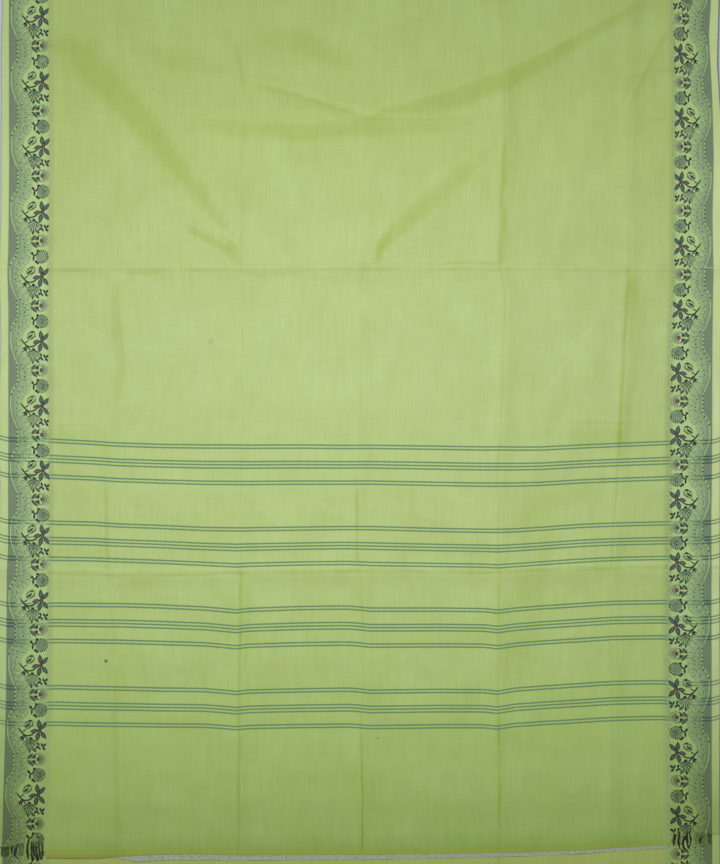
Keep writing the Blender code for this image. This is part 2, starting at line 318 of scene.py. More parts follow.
weftLines = {  # distance from the end, and the line's rise above its middle at each place, in mm
    "end": (0.0000, (
        2, 0.5, -0.5, 0, 2.1, 2.4, 1.1, 1.2, 1.5, 1.7, 1.5, 1.4, 3.2, 4.3, 4.6, 5.3, 6, 8.6, 11.4, 14.5,
        13.2)),
    "fourthStripes": (0.2600, (
        4.8, 6.1, 4.6, 4.1, 2.2, 1.4, -2.9, -0.9, 1, 2.1, 1.4, -1.1, 0.2, -0.3, -2.6, 2.1, 5.2, 9.2, 12.7,
        13.8, 11)),
    "thirdStripes": (0.3870, (
        6.9, 7.7, 7.1, 7.1, 5, 1.7, -2.9, -0.7, 2.4, 3.2, 2.2, -0.1, -0.1, -0.9, -3.2, 0, 3.2, 7.1, 10.5,
        11.6, 10.7)),
    "secondStripes": (0.5141, (
        9.5, 8.3, 6.7, 4.2, 1.7, -1.5, -2, -2, -0.9, 0, 0, 0, -3.1, -4.3, -4.3, -3.6, -1.2, 3.3, 5.3, 7.2,
        8)),
    "firstStripes": (0.6411, (
        10.6, 9.1, 5.6, 3.2, 1.1, 0.2, 0.2, -0.1, 0.2, -0.6, -0.4, -0.3, -1.8, -2.9, -2.7, -3.1, -3.1, 0,
        2.3, 5.3, 6.9)),
    "upperPart": (0.9200, (
        12.9, 14, 9.4, 7.5, 5.2, 2.7, 1.2, 0.9, 0.3, 0, 0, 0, 0, 0, 0, 0, 0, 1, 1.8, 3.8, 3.7)),
    "top": (1.3400, (
        20, 20, 14.7, 12.3, 9, 5.6, 3.2, 2.8, 1.5, 0.4, 0.2, 0, 0, 0.8, 1, 1.4, 2, 2.5, 2.9, 3.9, 3.9)),
}
cutPlaces = weftPlaces[1:-1]  # the cut end is read between the borders' middles
cutRises = (  # of the cut end, in mm
    -3.5, -4.8, -1.9, 2.1, 2.4, 1.1, 1.2, 1.5, 1.7, 1.5, 1.4, 3.2, 4.3, 4.6, 5.3, 6, 8.6, 12, 16.4)
wrinkles = {  # fine lines of painted shade and painted highlight: places across and up in mm, half width in mm, strength (painted shade +, painted highlight -)
    "sweepRim": (((-324.5, 391.6), (-265.2, 349.4), (-212.2, 312), (-190.3, 293.3)), 3.1, -0.8),
    "sweepWedge": (((-265.2, 316.7), (-240.2, 302.6), (-215.3, 290.2), (-191.9, 268.3)), 6.6, 0.85),
    "creaseTwoTop": (((-193.4, 605.3), (-188.8, 577.2), (-182.5, 546)), 4.1, 0.55),
    "creaseTwoFoot": (((-182.5, 383.8), (-184.1, 321.4), (-185.6, 265.2)), 3.4, 0.45),
    "armShineOne": (((-159.1, 549.1), (-93.6, 532), (-31.2, 513.2), (10.9, 496.1)), 2.8, -0.6),
    "armShineTwo": (((-132.6, 560), (-62.4, 542.9), (-9.4, 521)), 2.5, -0.4),
    "armLine": (((-152.9, 538.2), (-93.6, 522.6), (-34.3, 503.9), (6.2, 489.8)), 2.8, 0.5),
    "apexShine": (((-15.6, 514.8), (9.4, 496.1), (21.8, 497.6), (37.4, 513.2)), 3.1, -0.8),
    "apexFall": (((32.8, 680.2), (32.8, 611.5), (29.6, 555.4), (21.8, 505.4)), 4.1, -0.4),
    "underArm": (((-15.6, 487.5), (78, 487.5), (171.6, 489.8)), 2.3, 0.45),
    "armRim": (((40.6, 508.6), (124.8, 532), (223.1, 566.3)), 3.4, -0.4),
    "armRimHigh": (((223.1, 566.3), (312, 608.4), (424.3, 669.2)), 3.4, -0.45),
    "pinchRight": (((40.6, 305.8), (31.2, 285.5), (23.4, 263.6)), 7, 0.6),
    "liftRight": (((98.3, 293.3), (162.2, 308.9)), 2.8, -0.45),
    "cornerLine": (((474.2, 616.2), (449.3, 567.8), (422.8, 514.8)), 4.4, 0.55),
    "cornerShine": (((480.5, 649), (458.6, 605.3), (436.8, 555.4), (415, 508.6)), 3.4, -0.45),
    "rimTickOne": (((460.2, 564.7), (488.3, 563.2)), 2.3, 0.4),
    "rimTickTwo": (((446.2, 486.7), (488.3, 486.7)), 2.3, 0.4),
    "aboveCross": (((131, 262.1), (174.7, 265.2), (215.3, 262.1)), 2.8, 0.6),
    "underCrossLeft": (((-483.6, 251.2), (-424.3, 251.2)), 3.1, 0.7),
    "underCrossTwo": (((-368.2, 249.6), (-337, 248), (-304.2, 251.2)), 3.4, 0.75),
    "underCrossThree": (((-273, 255.8), (-215.3, 244.9)), 2.5, 0.4),
    "underCrossFour": (((-187.2, 249.6), (-152.9, 244.9), (-93.6, 251.2)), 4.7, 0.5),
    "creaseTwoFaint": (((-182.5, 499.2), (-184.1, 415)), 3.1, 0.35),
    "underCrossFive": (((-377.5, 249.6), (-371.3, 205.9)), 5.3, 0.3),
    "sideShine": (((405.6, 493), (365, 449.3), (324.5, 407.2), (282.4, 343.2)), 5, -0.3),
    "creaseFiveLow": (((394.7, -493), (394.7, -599)), 5.3, 0.25),
    "creaseFiveShine": (((391.6, -209), (393.1, -299.5)), 4.1, -0.3),
    "rippleOne": (((-464.9, 201.2), (-430.6, 166.9), (-396.2, 145.1)), 3.7, -0.6),
    "rippleTwo": (((-466.4, 179.4), (-433.7, 143.5)), 3.1, -0.4),
    "rippleFour": (((-464.9, 84.2), (-447.7, 53)), 7, -0.45),
    "foldMarkLeft": (((-486.7, 10.9), (-399.4, 10.9)), 2.5, 0.5),
    "creaseOneFoot": (((-396.2, 9.4), (-396.2, -59.3)), 2.5, 0.4),
    "creaseOneSharp": (((-396.2, -71.8), (-395.5, -137.3), (-394.7, -209)), 2.8, 0.95),
    "creaseTwoShine": (((-191.1, 249.6), (-191.9, 190.3), (-187.2, 103)), 2.8, -0.5),
    "creaseThreeSharp": (((-4.7, -81.1), (-4.7, -146.6), (-3.9, -212.2)), 2.3, 0.9),
    "shineRight": (((380.6, 190.3), (335.4, 127.9), (280.8, 53)), 2.8, -0.7),
    "shineRightTwo": (((361.9, 159.1), (312, 90.5)), 2.3, -0.4),
    "foldMarkRight": (((324.5, 14), (411.8, 14)), 2.8, 0.6),
    "creaseFiveSharp": (((418.9, 252.7), (416.5, 190.3), (413.4, 118.6)), 4.7, 0.75),
    "creaseFiveFoot": (((411.8, 112.3), (407.2, 34.3), (404, -31.2)), 4.1, 0.75),
    "lowerLeftLine": (((-486.7, -218.4), (-390, -218.4)), 2.8, 0.5),
    "creaseTwoLow": (((-177.8, -224.6), (-174.7, -287), (-177.8, -343.2)), 7.8, 0.4),
    "creaseTwoLine": (((-185.6, -218.4), (-185.6, -277.7), (-186.4, -333.8)), 3.4, 0.75),
    "creaseTwoLineFoot": (((-188, -340.1), (-188, -464.9), (-188.8, -605.3)), 3.1, 0.65),
    "creaseOneLow": (((-382.2, -443), (-380.6, -542.9), (-377.5, -655.2)), 5.6, 0.4),
    "creaseThreeLow": (((2, -443), (2.3, -527.3)), 2, 0.6),
    "creaseThreeFoot": (((3.4, -511.7), (4.0, -583.4), (4.2, -661.4)), 1.5, 1.7),
    "creaseFourShine": (((212.9, -196.6), (212.6, -277.7), (213.7, -361.9)), 2.5, -0.6),
    "creaseFourLow": (((217.8, -196.6), (217.5, -277.7), (218.4, -361.9)), 2.5, 0.6),
    "creaseFourFoot": (((217.6, -430.6), (217.8, -511.7), (218.4, -614.6)), 2.1, 1.0),
    "creaseFourTop": (((227, 458.6), (224.6, 424.3), (224.6, 390)), 4.1, 0.8),
    "creaseFourMid": (((225.1, 399.4), (221.5, 365), (225, 327.6)), 4.4, 0.85),
    "creaseFourPinch": (((224.6, 333.8), (221.5, 299.5), (217.6, 262.1)), 4.7, 0.9),
}
borderEnds = {  # the borders stop short of the end, where their yarns come loose: place across, and height
    "left": ((-0.571, -0.6479), (-0.548, -0.6479), (-0.540, -0.6445), (-0.522, -0.6440),
             (-0.515, -0.6405), (-0.494, -0.6405)),
    "right": ((0.489, -0.6271), (0.562, -0.6271)),
}
selvedgeRise = {"rise": 4.5 * mm, "reach": 8 * mm}  # the weft lines turn up beside the selvedges
endStep = 4 * mm  # how far the slanted cut beside each border runs across


def guideX(name, y):
    heights, places = zip(*reversed(guides[name][1]))
    return np.interp(y, heights, places)


def flatPlace(name):
    return guides[name][0]


def acrossX(place, y):  # a flat place across the cloth, carried along by the guides beside it
    flat = [flatPlace(name) for name in guides]
    at = np.array([guideX(name, y) for name in guides])
    cell = np.clip(np.searchsorted(flat, place, side="right") - 1, 0, len(flat) - 2)
    share = (place - np.take(flat, cell)) / (np.take(flat, cell + 1) - np.take(flat, cell))
    row = np.arange(len(place))
    return at[cell, row] * (1 - share) + at[cell + 1, row] * share


def crossHeight(name, x):
    return np.interp(x, [flatPlace(guide) for guide in crossGuides], crossCreases[name]["heights"])


def weftRise(x, along):  # how far a weft line lies above its middle
    rows = np.array([np.interp(x, weftPlaces, rises) for _, rises in weftLines.values()]) * mm
    starts = np.array([start for start, _ in weftLines.values()])
    cell = np.clip(np.searchsorted(starts, along, side="right") - 1, 0, len(starts) - 2)
    share = np.clip((along - starts[cell]) / (starts[cell + 1] - starts[cell]), 0, 1)
    row = np.arange(len(x))
    edge = np.minimum(x - flatPlace("leftSelvedge"), flatPlace("rightSelvedge") - x)
    lift = selvedgeRise["rise"] * np.exp(-np.maximum(edge, 0) / selvedgeRise["reach"])
    return rows[cell, row] * (1 - share) + rows[cell + 1, row] * share + lift


def alongAt(x, y):  # distance from the woven end, of a point of the top layer
    along = y - cloth["endHeight"]
    for _ in range(6):
        along = y - cloth["endHeight"] - weftRise(x, along)
    return along


def swellOf(distance, halfWidth):
    share = np.minimum(np.abs(distance) / halfWidth, 1)
    return (1 - share**2) ** 2


def bell(distance, width):
    return np.exp(-((distance / width) ** 2))


def byPanel(name, kind, x, y):  # eased from panel to panel at the cross creases
    top, middle, lower = creases[name][kind]
    blend = creaseShape["panelBlend"]
    upperShare = np.clip((y - crossHeight("upper", x)) / blend + 0.5, 0, 1)
    lowerShare = np.clip((crossHeight("lower", x) - y) / blend + 0.5, 0, 1)
    return middle + upperShare * (top - middle) + lowerShare * (lower - middle)


def drift(place, seed, period):  # a slow wave between -1 and 1
    slow = np.sin(2 * math.pi * place / period + seed * 2.4)
    quick = np.sin(2 * math.pi * place / (period * 0.43) + seed * 5.1)
    return (slow + quick) / 2


def pressedLines(x, y):  # height and painted shade of every crease line, painted highlight where the shade is below zero
    height, tint = np.zeros_like(x), np.zeros_like(x)
    shape = creaseShape
    for seed, name in enumerate(creases):
        distance = x - guideX(name, y) - shape["wander"] * drift(y, seed, creaseDrift["wander"])
        sharp = byPanel(name, "sharp", x, y) * (1 + 0.35 * drift(y, seed + 9, creaseDrift["sharp"]))
        height += sharp * bell(distance, shape["sharpWidth"])
        bloom = byPanel(name, "bloom", x, y) * (1 + 0.5 * drift(y, seed + 4, creaseDrift["bloom"]))
        tint += np.abs(sharp) * bell(distance, shape["tintWidth"])
        tint += bloom * bell(distance - shape["bloomShift"], shape["bloomWidth"])
    for crease, name in enumerate(crossCreases):
        for seed, (offset, sharp, lineShade) in enumerate(crossCreases[name]["lines"]):
            seed += 3 * crease
            wander = shape["wander"] * drift(x, seed, creaseDrift["crossWander"])
            distance = y - crossHeight(name, x) - offset - wander
            strength = np.clip(0.85 + 0.6 * drift(x, seed + 5, creaseDrift["crossSharp"]), 0.1, 1.5)
            height += sharp * strength * bell(distance, shape["sharpWidth"] * 0.8)
            tint += lineShade * strength * bell(distance, shape["tintWidth"])
    return height * shape["sharpHeight"], tint


def flatShare(y):
    return np.clip((y - cloth["flatEnd"] + cloth["fade"]) / cloth["fade"], 0, 1)


def unevenness(x, y):  # a sum of slow waves with fixed chance directions
    chance = np.random.RandomState(unevenWaves["seed"])
    total = np.zeros_like(x)
    for _ in range(unevenWaves["count"]):
        turn = chance.uniform(0, math.pi)
        length = chance.uniform(unevenWaves["shortest"], unevenWaves["longest"])
        phase = chance.uniform(0, 2 * math.pi)
        total += np.sin(2 * math.pi * (x * math.cos(turn) + y * math.sin(turn)) / length + phase)
    return total * unevenWaves["share"]


def creaseRise(x, y):
    half = creaseShape["halfWidth"]
    swells = [creases[name]["swell"] * swellOf(x - guideX(name, y), half) for name in creases]
    swells += [crossCreases[name]["swell"] * swellOf(y - crossHeight(name, x), half)
               for name in crossCreases]
    return np.max(swells, axis=0) * flatShare(y) * creaseShape["swellKept"] + pressedLines(x, y)[0]


def fromLine(x, y, start, stop):  # share along a straight line, and distance from it
    run = np.subtract(stop, start)
    share = np.clip(((x - start[0]) * run[0] + (y - start[1]) * run[1]) / (run @ run), 0, 1)
    return share, np.hypot(x - start[0] - share * run[0], y - start[1] - share * run[1])


def dragRise(x, y):
    return np.max([rise * swellOf(fromLine(x, y, start, stop)[1], halfWidth)
                   for start, stop, halfWidth, rise in dragFolds.values()], axis=0)


def pullBand(x, y):  # strength of the narrow bands, which raise the cloth and carry painted shade
    rest = np.ones_like(x)
    for line in pulls.values():
        found = np.zeros_like(x)
        for first, second in zip(line, line[1:]):
            share, distance = fromLine(x, y, first[:2], second[:2])
            width = (first[2] + (second[2] - first[2]) * share) * mm
            strength = first[3] + (second[3] - first[3]) * share
            found = np.maximum(found, strength * np.minimum(1, 1.5 * swellOf(distance, width * 1.15)))
        rest *= 1 - found
    return 1 - rest


def layerHeight(layer, x, y):
    share = layer / (cloth["layers"] - 1)
    height = cloth["foot"] + cloth["thickness"] / 2 + layer * cloth["pitch"]
    height = height + share * (creaseRise(x, y) + cloth["uneven"] * unevenness(x, y))
    if layer == cloth["layers"] - 1:
        settle = np.clip((cloth["settleStart"] - y) / cloth["settleLength"], 0, 1)
        height = height - cloth["settleDrop"] * settle**2 * (3 - 2 * settle)
        height = height + dragRise(x, y) + pullBand(x, y) * pullRise
        edge = np.minimum(x - guideX("leftSelvedge", y), guideX("rightSelvedge", y) - x)
        wave = (1 + np.sin(x * 3 + y * 31) * np.sin(y * 17 + 1)) / 2
        height = height + cloth["edgeWave"] * wave * np.exp(-np.maximum(edge, 0) / cloth["edgeReach"])
    return height


def endHeight(x):  # where the cloth is cut, with the borders cut shorter than the middle
    woven = cloth["endHeight"] + np.interp(x, cutPlaces, cutRises) * mm
    left, right = [float(guideX(name, cloth["endHeight"]))
                   for name in ("leftBorderEdge", "rightBorderEdge")]
    leftEnd, rightEnd = [np.interp(x, *zip(*borderEnds[side])) for side in ("left", "right")]
    slant = endStep / 2
    ends = np.interp(x, (left + slant / 2, left + 1.5 * slant), (1, 0))
    rights = np.interp(x, (right - 1.5 * slant, right - slant / 2), (0, 1))
    return woven + ends * (leftEnd - woven) + rights * (rightEnd - woven)


def spread(marks, step):  # places between marks, no further apart than the step
    places = [marks[0]]
    for mark in marks[1:]:
        count = max(1, math.ceil((mark - places[-1]) / step - 0.01))
        low = places[-1]
        places += [low + (mark - low) * i / count for i in range(1, count + 1)]
    return np.array(places)


def besideCrease(place):
    return [place] + [place + side * offset for offset in creaseShape["offsets"] for side in (-1, 1)]


def clothColumns():
    marks = [flatPlace(name) for name in guides if not name.startswith("crease")]
    marks += [flatPlace("leftBorderEdge") + endStep, flatPlace("rightBorderEdge") - endStep]
    marks += [flatPlace("leftSelvedge") + cloth["rim"], flatPlace("rightSelvedge") - cloth["rim"]]
    for name in creases:
        marks += besideCrease(flatPlace(name))
    return spread(sorted(marks), cloth["columnStep"])


def runHeights(start, stop, step, rim):
    marks = [start, start + rim, stop]
    for crease in crossCreases.values():
        marks += besideCrease(crease["heights"][3])
    heights = spread(sorted(marks), step)
    return heights if stop > start else heights[::-1]


def runRow(layer, y, places):
    y = np.full_like(places, y)
    for name, crease in crossCreases.items():  # rows bend to follow the cross creases
        reach = np.clip(1 - np.abs(y - crease["heights"][3]) / creaseShape["rowReach"], 0, 1)
        y = y + reach * (crossHeight(name, places) - crease["heights"][3])
    if layer == cloth["layers"] - 1:
        turned = np.clip(1 - (y - cloth["endHeight"]) / cloth["endBlend"], 0, 1) ** 2
        y = y + turned * (endHeight(acrossX(places, y)) - cloth["endHeight"])
    x = acrossX(places, y)
    return np.stack([x + cloth["sideShifts"][layer], y, layerHeight(layer, x, y)], axis=1)


def foldRows(layer, side, places):  # the half turn from a layer down to the next
    upper = runRow(layer, side * cloth["foldReach"], places)
    lower = runRow(layer - 1, side * cloth["foldReach"], places)
    radius = (upper[:, 2] - lower[:, 2]) / 2
    rows = []
    for i in range(1, cloth["foldSteps"]):
        share = i / cloth["foldSteps"]
        turn = math.pi * share
        row = upper + (lower - upper) * share
        row[:, 1] = side * (cloth["foldReach"] - radius + radius * math.sin(turn))
        row[:, 2] = (upper[:, 2] + lower[:, 2]) / 2 + radius * math.cos(turn)
        rows.append(row)
    return rows


def clothRows(places):
    rows, side, topRows = [], 1, 0
    for layer in reversed(range(cloth["layers"])):
        top = layer == cloth["layers"] - 1
        turn = cloth["foldReach"] - cloth["pitch"]
        start = cloth["endHeight"] if top else -side * turn
        stop = side * turn if layer else cloth["innerEnd"]
        step = cloth["rowStep"] if top else cloth["hiddenRowStep"]
        heights = runHeights(start, stop, step, cloth["rim"] if top else 0)
        rows += [runRow(layer, y, places) for y in heights]
        topRows = topRows or len(rows)
        if layer:
            rows += foldRows(layer, side, places)
        side = -side
    return np.array(rows), topRows


def addAttribute(mesh, name, values):
    mesh.attributes.new(name, "FLOAT", "POINT").data.foreach_set("value", values.astype(np.float32))


def makeCloth(material):
    places = clothColumns()
    rows, topRows = clothRows(places)
    rowCount, columnCount = rows.shape[:2]
    along = np.zeros((rowCount, columnCount))
    for i in range(rowCount):  # the top layer is read from its weft lines, the rest from the cloth's run
        if i < topRows:
            along[i] = alongAt(rows[i, :, 0], rows[i, :, 1])
        else:
            along[i] = along[i - 1] + np.linalg.norm(rows[i] - rows[i - 1], axis=1)
    across = np.broadcast_to(places - places[0], (rowCount, columnCount))
    index = np.arange(rowCount * columnCount).reshape(rowCount, columnCount)
    corners = [index[:-1, :-1], index[:-1, 1:], index[1:, 1:], index[1:, :-1]]
    faces = np.stack(corners, axis=-1).reshape(-1, 4)
    piece = newPiece("sareeCloth", rows.reshape(-1, 3).tolist(), faces.tolist(), material)
    mesh = piece.data
    flat = np.stack([across, along], axis=-1).reshape(-1, 2)
    layer = mesh.uv_layers.new(name="flat")
    layer.data.foreach_set("uv", flat[faces.reshape(-1)].astype(np.float32).reshape(-1))
    mesh.polygons.foreach_set("use_smooth", [True] * len(mesh.polygons))
    x, y = rows[:, :, 0].reshape(-1), rows[:, :, 1].reshape(-1)
    # painted shade along the creases, painted highlight where it is below zero
    addAttribute(mesh, "creaseTint", pressedLines(x, y)[1])
    # painted shade in the drag bands, on the top layer only
    addAttribute(mesh, "dragTint", pullBand(x, y) * (np.arange(len(x)) < topRows * columnCount))
    print("cloth", rowCount, "rows", columnCount, "columns, length", round(float(along[-1].mean()), 3))
    return piece, rows[0]


# The border, charted for one repeat: across from the selvedge and down the cloth, in mm

border = {
    "drawnPitch": 101.8,  # length of the chart below
    "pitch": 99.8,  # length of one repeat on the cloth
    "leftStart": 117.4,  # top of the first left repeat, from the woven end
    "rightSlip": -42.8,  # the right border's repeats lie this much lower
    "repeats": 56,
    "underFirst": 25,  # the repeats that show on the reverse, at the lower fold
    "underRepeats": 3,
    "underSlip": 12.0,
    "leftUnderSlip": 64.0,  # more than that at the left
}
bandEdge = ((0, 17.7), (5, 16), (10, 15.6), (30, 15.6), (38, 16.8), (47, 20), (57, 23.6), (60, 25.2),
            (88, 25.4), (94, 23), (98, 20.3), (101.8, 17.7))
laceEdge = ((0, 46.5), (4, 44), (10, 38), (16, 35.5), (28, 33.5), (37, 35), (44, 39.5), (50, 43),
            (56, 45.5), (63, 47.5), (80, 49), (92, 48.5), (98, 47.5), (101.8, 46.5))
bandStart = 12.5
petals = (  # base, tip, width: the flower's five, the rose's leaves, the leaf under the bell flower
    ((64.2, 23.4), (62.4, 8.4), 6.8), ((66.0, 24.2), (75.0, 12.6), 6.2),
    ((66.0, 27.4), (74.8, 39.2), 6.4), ((63.4, 27.8), (60.4, 43.0), 6.9),
    ((62.4, 25.4), (50.4, 28.0), 6.6), ((47.5, 70.9), (55.4, 61.8), 4.8),
    ((47.5, 72.3), (57.4, 82.2), 4.8), ((55.0, 53.6), (60.4, 60.0), 4.2),
)
darkLeaves = (
    ((53.4, 70.2), (60.8, 61.8), 2.7), ((53.4, 72.4), (61.4, 80.4), 2.7),
    ((56.6, 70.4), (60.2, 66.2), 2.2), ((56.6, 72.0), (60.2, 75.8), 2.2),
    ((61.8, 44.2), (64.6, 50.2), 3.0), ((58.8, 54.6), (64.0, 49.6), 3.2),
    ((63.2, 51.2), (66.8, 56.4), 3.0), ((67.6, 45.2), (69.4, 52.2), 2.8),
    ((70.2, 51.2), (75.0, 46.6), 3.6), ((69.4, 51.6), (73.8, 57.0), 3.6),
    ((51.9, 94.0), (51.6, 103.0), 3.0), ((49.0, 37.2), (54.4, 38.4), 3.0),
    ((46.6, 43.0), (49.4, 48.0), 2.0), ((55.0, 43.0), (53.4, 49.0), 1.8),
    ((42.6, 21.2), (50.8, 14.0), 3.4), ((46.4, 11.6), (53.4, 10.2), 3.6),
    ((50.2, 53.4), (50.0, 61.6), 2.8), ((46.2, 43.2), (44.2, 47.8), 2.4),
    ((49.2, 38.6), (54.4, 39.2), 3.4), ((40.1, 34.4), (35.8, 42.6), 2.3),
    ((40.4, 35.8), (40.2, 43.4), 2.1), ((39.6, 35.0), (33.8, 37.8), 2.1),
)
droopBase = (51.5, 39.5)
droopTips = ((42.0, 44.0), (43.4, 51.8), (46.6, 57.8), (50.8, 62.4), (54.8, 56.8), (57.6, 50.6),
             (60.2, 44.4))
stems = (
    (((32.6, 21.8), (36.4, 27.9), (40.9, 32.6), (45.3, 34.4), (50.9, 33.6), (56.4, 30.2)), 2.3),
    (((39.2, 31.7), (43.1, 36.2), (47.0, 39.2)), 2.0),
    (((37.9, 27.6), (41.4, 26.4), (43.4, 24.2)), 1.7),
    (((49.6, 90.6), (52.6, 94.6), (56.0, 93.0), (58.6, 87.0)), 2.4),
    (((39.0, 33.5), (38.4, 37.0), (37.4, 41.0)), 1.8),
)
darkDots = ((49.6, 90.6, 2.2), (58.0, 86.4, 2.0), (56.0, 103.6, 2.3), (58.4, 106.0, 1.8))
smudges = (  # mid tone leaves: bud, bell flower and rose
    ((46.4, 22.8), (53.4, 17.4), 2.8), ((42.6, 15.4), (46.4, 10.8), 2.2),
    ((52.6, 15.0), (54.6, 19.6), 2.0), ((44.6, 40.8), (48.6, 42.6), 2.6),
    ((54.0, 41.6), (58.6, 41.4), 2.4), ((47.6, 47.6), (46.6, 53.6), 2.6),
)
flowerEye = (64.3, 25.4, 1.7)
roseEye = (64.5, 71.0, 1.8)
flowerHeart = (64.4, 25.5, 3.1)
bud = {"centre": (48.1, 16.7), "long": 7.2, "short": 4.8, "turn": 45, "line": 1.5}
rose = {"heart": 3.6, "ring": 3.0, "ringLine": 1.3, "middle": 5.6, "middleLine": 2.2,
        "outline": 8.9, "outlineLine": 1.8, "lobes": 9}
lobeRise = 0.5
fan = {"centre": (64.0, 95.8), "disc": 8.4, "inner": 7.8, "outer": 11.2, "ribs": 13,
       "spread": 112, "line": 2.1, "veins": 14, "veinSpread": 98, "veinStart": 2.0, "veinReach": 9.0,
       "veinLine": 1.3}
hatch = {"turn": 118, "offsets": (-5.2, -2.6, 0.0, 2.6, 5.2), "line": 0.9}  # fine lines across the fan
bellBase = ((50.8, 46.4, 8.0), (45.4, 46.5, 5.4), (56.0, 46.0, 5.2), (50.0, 53.4, 5.0))
veinDots = ((29.0, 3.3), (27.6, 12.8), (25.6, 21.0), (24.7, 30.1), (25.3, 41.2), (28.6, 51.0),
            (32.0, 61.8), (35.6, 68.4), (37.5, 74.6), (38.0, 81.4), (37.0, 87.4), (34.5, 98.0))
feather = {"count": 34, "length": 9.0, "line": 1.2, "slant": 3.0, "past": 0.8, "gap": 1.6}
bandStroke = ((1.5, 0.0), (4.2, 1.6), (6.6, 3.6))  # a fine stroke beside the dark band, across and down
teeth = {"first": 60.0, "last": 111.0, "step": 6.6, "reach": 2.4, "foot": 2.8, "peak": 0.4, "root": 0.6,
         "line": 0.9, "width": 2.2}
smoothEdge = {"start": 11, "stop": 57, "points": 16, "past": 0.3, "line": 0.9}
leafTip, discTip = 0.1, 0.02  # half width left at the ends of a leaf and a disc
lifts = {"band": 0.08 * mm, "stripe": 0.14 * mm, "base": 0.17 * mm, "yarn": 0.20 * mm, "inner": 0.26 * mm}


class Chart:  # flat shapes for one tone of yarn, drawn for the left border and mirrored for the right
    def __init__(self):
        self.points, self.faces = [], []

    def place(self, point, side, lift):
        across = point[0] if side < 0 else cloth["width"] / mm - point[0]
        start = border["leftStart"] + (border["rightSlip"] if side > 0 else 0)
        along = start - point[1] * border["pitch"] / border["drawnPitch"]
        self.points.append((across * mm, along * mm, lift))

    def ribbon(self, line, widths, lift):  # a line of points, widened by half widths on each side
        line = np.array(line, float)
        ahead = np.gradient(line, axis=0)
        ahead /= np.maximum(np.linalg.norm(ahead, axis=1, keepdims=True), 1e-9)
        beside = np.stack([-ahead[:, 1], ahead[:, 0]], axis=1) * np.array(widths, float)[:, None]
        self.strip(line + beside, line - beside, lift)

    def strip(self, first, second, lift):
        for side in (-1, 1):
            start = len(self.points)
            for one, other in zip(first, second):
                self.place(one, side, lift)
                self.place(other, side, lift)
            for i in range(len(first) - 1):
                a = start + 2 * i
                face = (a, a + 1, a + 3, a + 2)
                corners = [self.points[k] for k in face]
                area = sum(p[0] * q[1] - q[0] * p[1] for p, q in zip(corners, corners[1:] + corners[:1]))
                self.faces.append(face if area > 0 else face[::-1])

    def leaf(self, base, tip, width, lift, steps=6):
        shares = np.linspace(0, 1, steps + 1)
        line = [np.array(base) + (np.array(tip) - np.array(base)) * share for share in shares]
        self.ribbon(line, np.sin(math.pi * shares**0.9) ** 0.9 * width / 2 + leafTip, lift)

    def disc(self, across, down, radius, lift, steps=6):
        turns = np.linspace(0, math.pi, steps + 1)
        line = [(across - radius * math.cos(turn), down) for turn in turns]
        self.ribbon(line, np.sin(turns) * radius + discTip, lift)

    def stroke(self, line, width, lift, steps=3):
        line = np.array(line, float)
        fine = np.linspace(0, len(line) - 1, (len(line) - 1) * steps + 1)
        smooth = np.stack([np.interp(fine, range(len(line)), line[:, k]) for k in (0, 1)], axis=1)
        smooth[1:-1] = (smooth[:-2] + smooth[1:-1] * 2 + smooth[2:]) / 4
        ends = np.minimum(1, np.minimum(np.arange(len(fine)), np.arange(len(fine))[::-1]) / 1.5 + 0.45)
        self.ribbon(smooth, ends * width / 2, lift)

    def arc(self, centre, radius, start, stop, width, lift, steps=14, lobes=0):
        turns = np.radians(np.linspace(start, stop, steps + 1))
        radii = radius + lobeRise * np.cos(turns * lobes) * bool(lobes)
        line = np.stack([centre[0] + radii * np.cos(turns), centre[1] + radii * np.sin(turns)], axis=1)
        self.ribbon(line, np.full(steps + 1, width / 2), lift)

    def ray(self, centre, turn, inner, outer, width, lift):
        way = np.array((math.cos(math.radians(turn)), math.sin(math.radians(turn))))
        line = [np.array(centre) + way * reach for reach in np.linspace(inner, outer, 3)]
        self.ribbon(line, (width * 0.25, width / 2, width * 0.35), lift)


def edgeAt(edge, down):
    downs, acrosses = zip(*edge)
    return np.interp(np.mod(down, border["drawnPitch"]), downs, acrosses)


def drawBands(charts):
    downs = np.linspace(0, border["drawnPitch"], 52)
    for tone, low, high, parts in (("band", None, bandEdge, 2), ("lace", bandEdge, laceEdge, 5)):
        lows = np.full_like(downs, bandStart) if low is None else edgeAt(low, downs)
        highs = edgeAt(high, downs - 1e-6)
        for part in range(parts):
            first = lows + (highs - lows) * part / parts
            second = lows + (highs - lows) * (part + 1) / parts
            sides = [np.stack([across, downs], axis=1) for across in (first, second)]
            charts[tone].strip(*sides, lifts["band"])


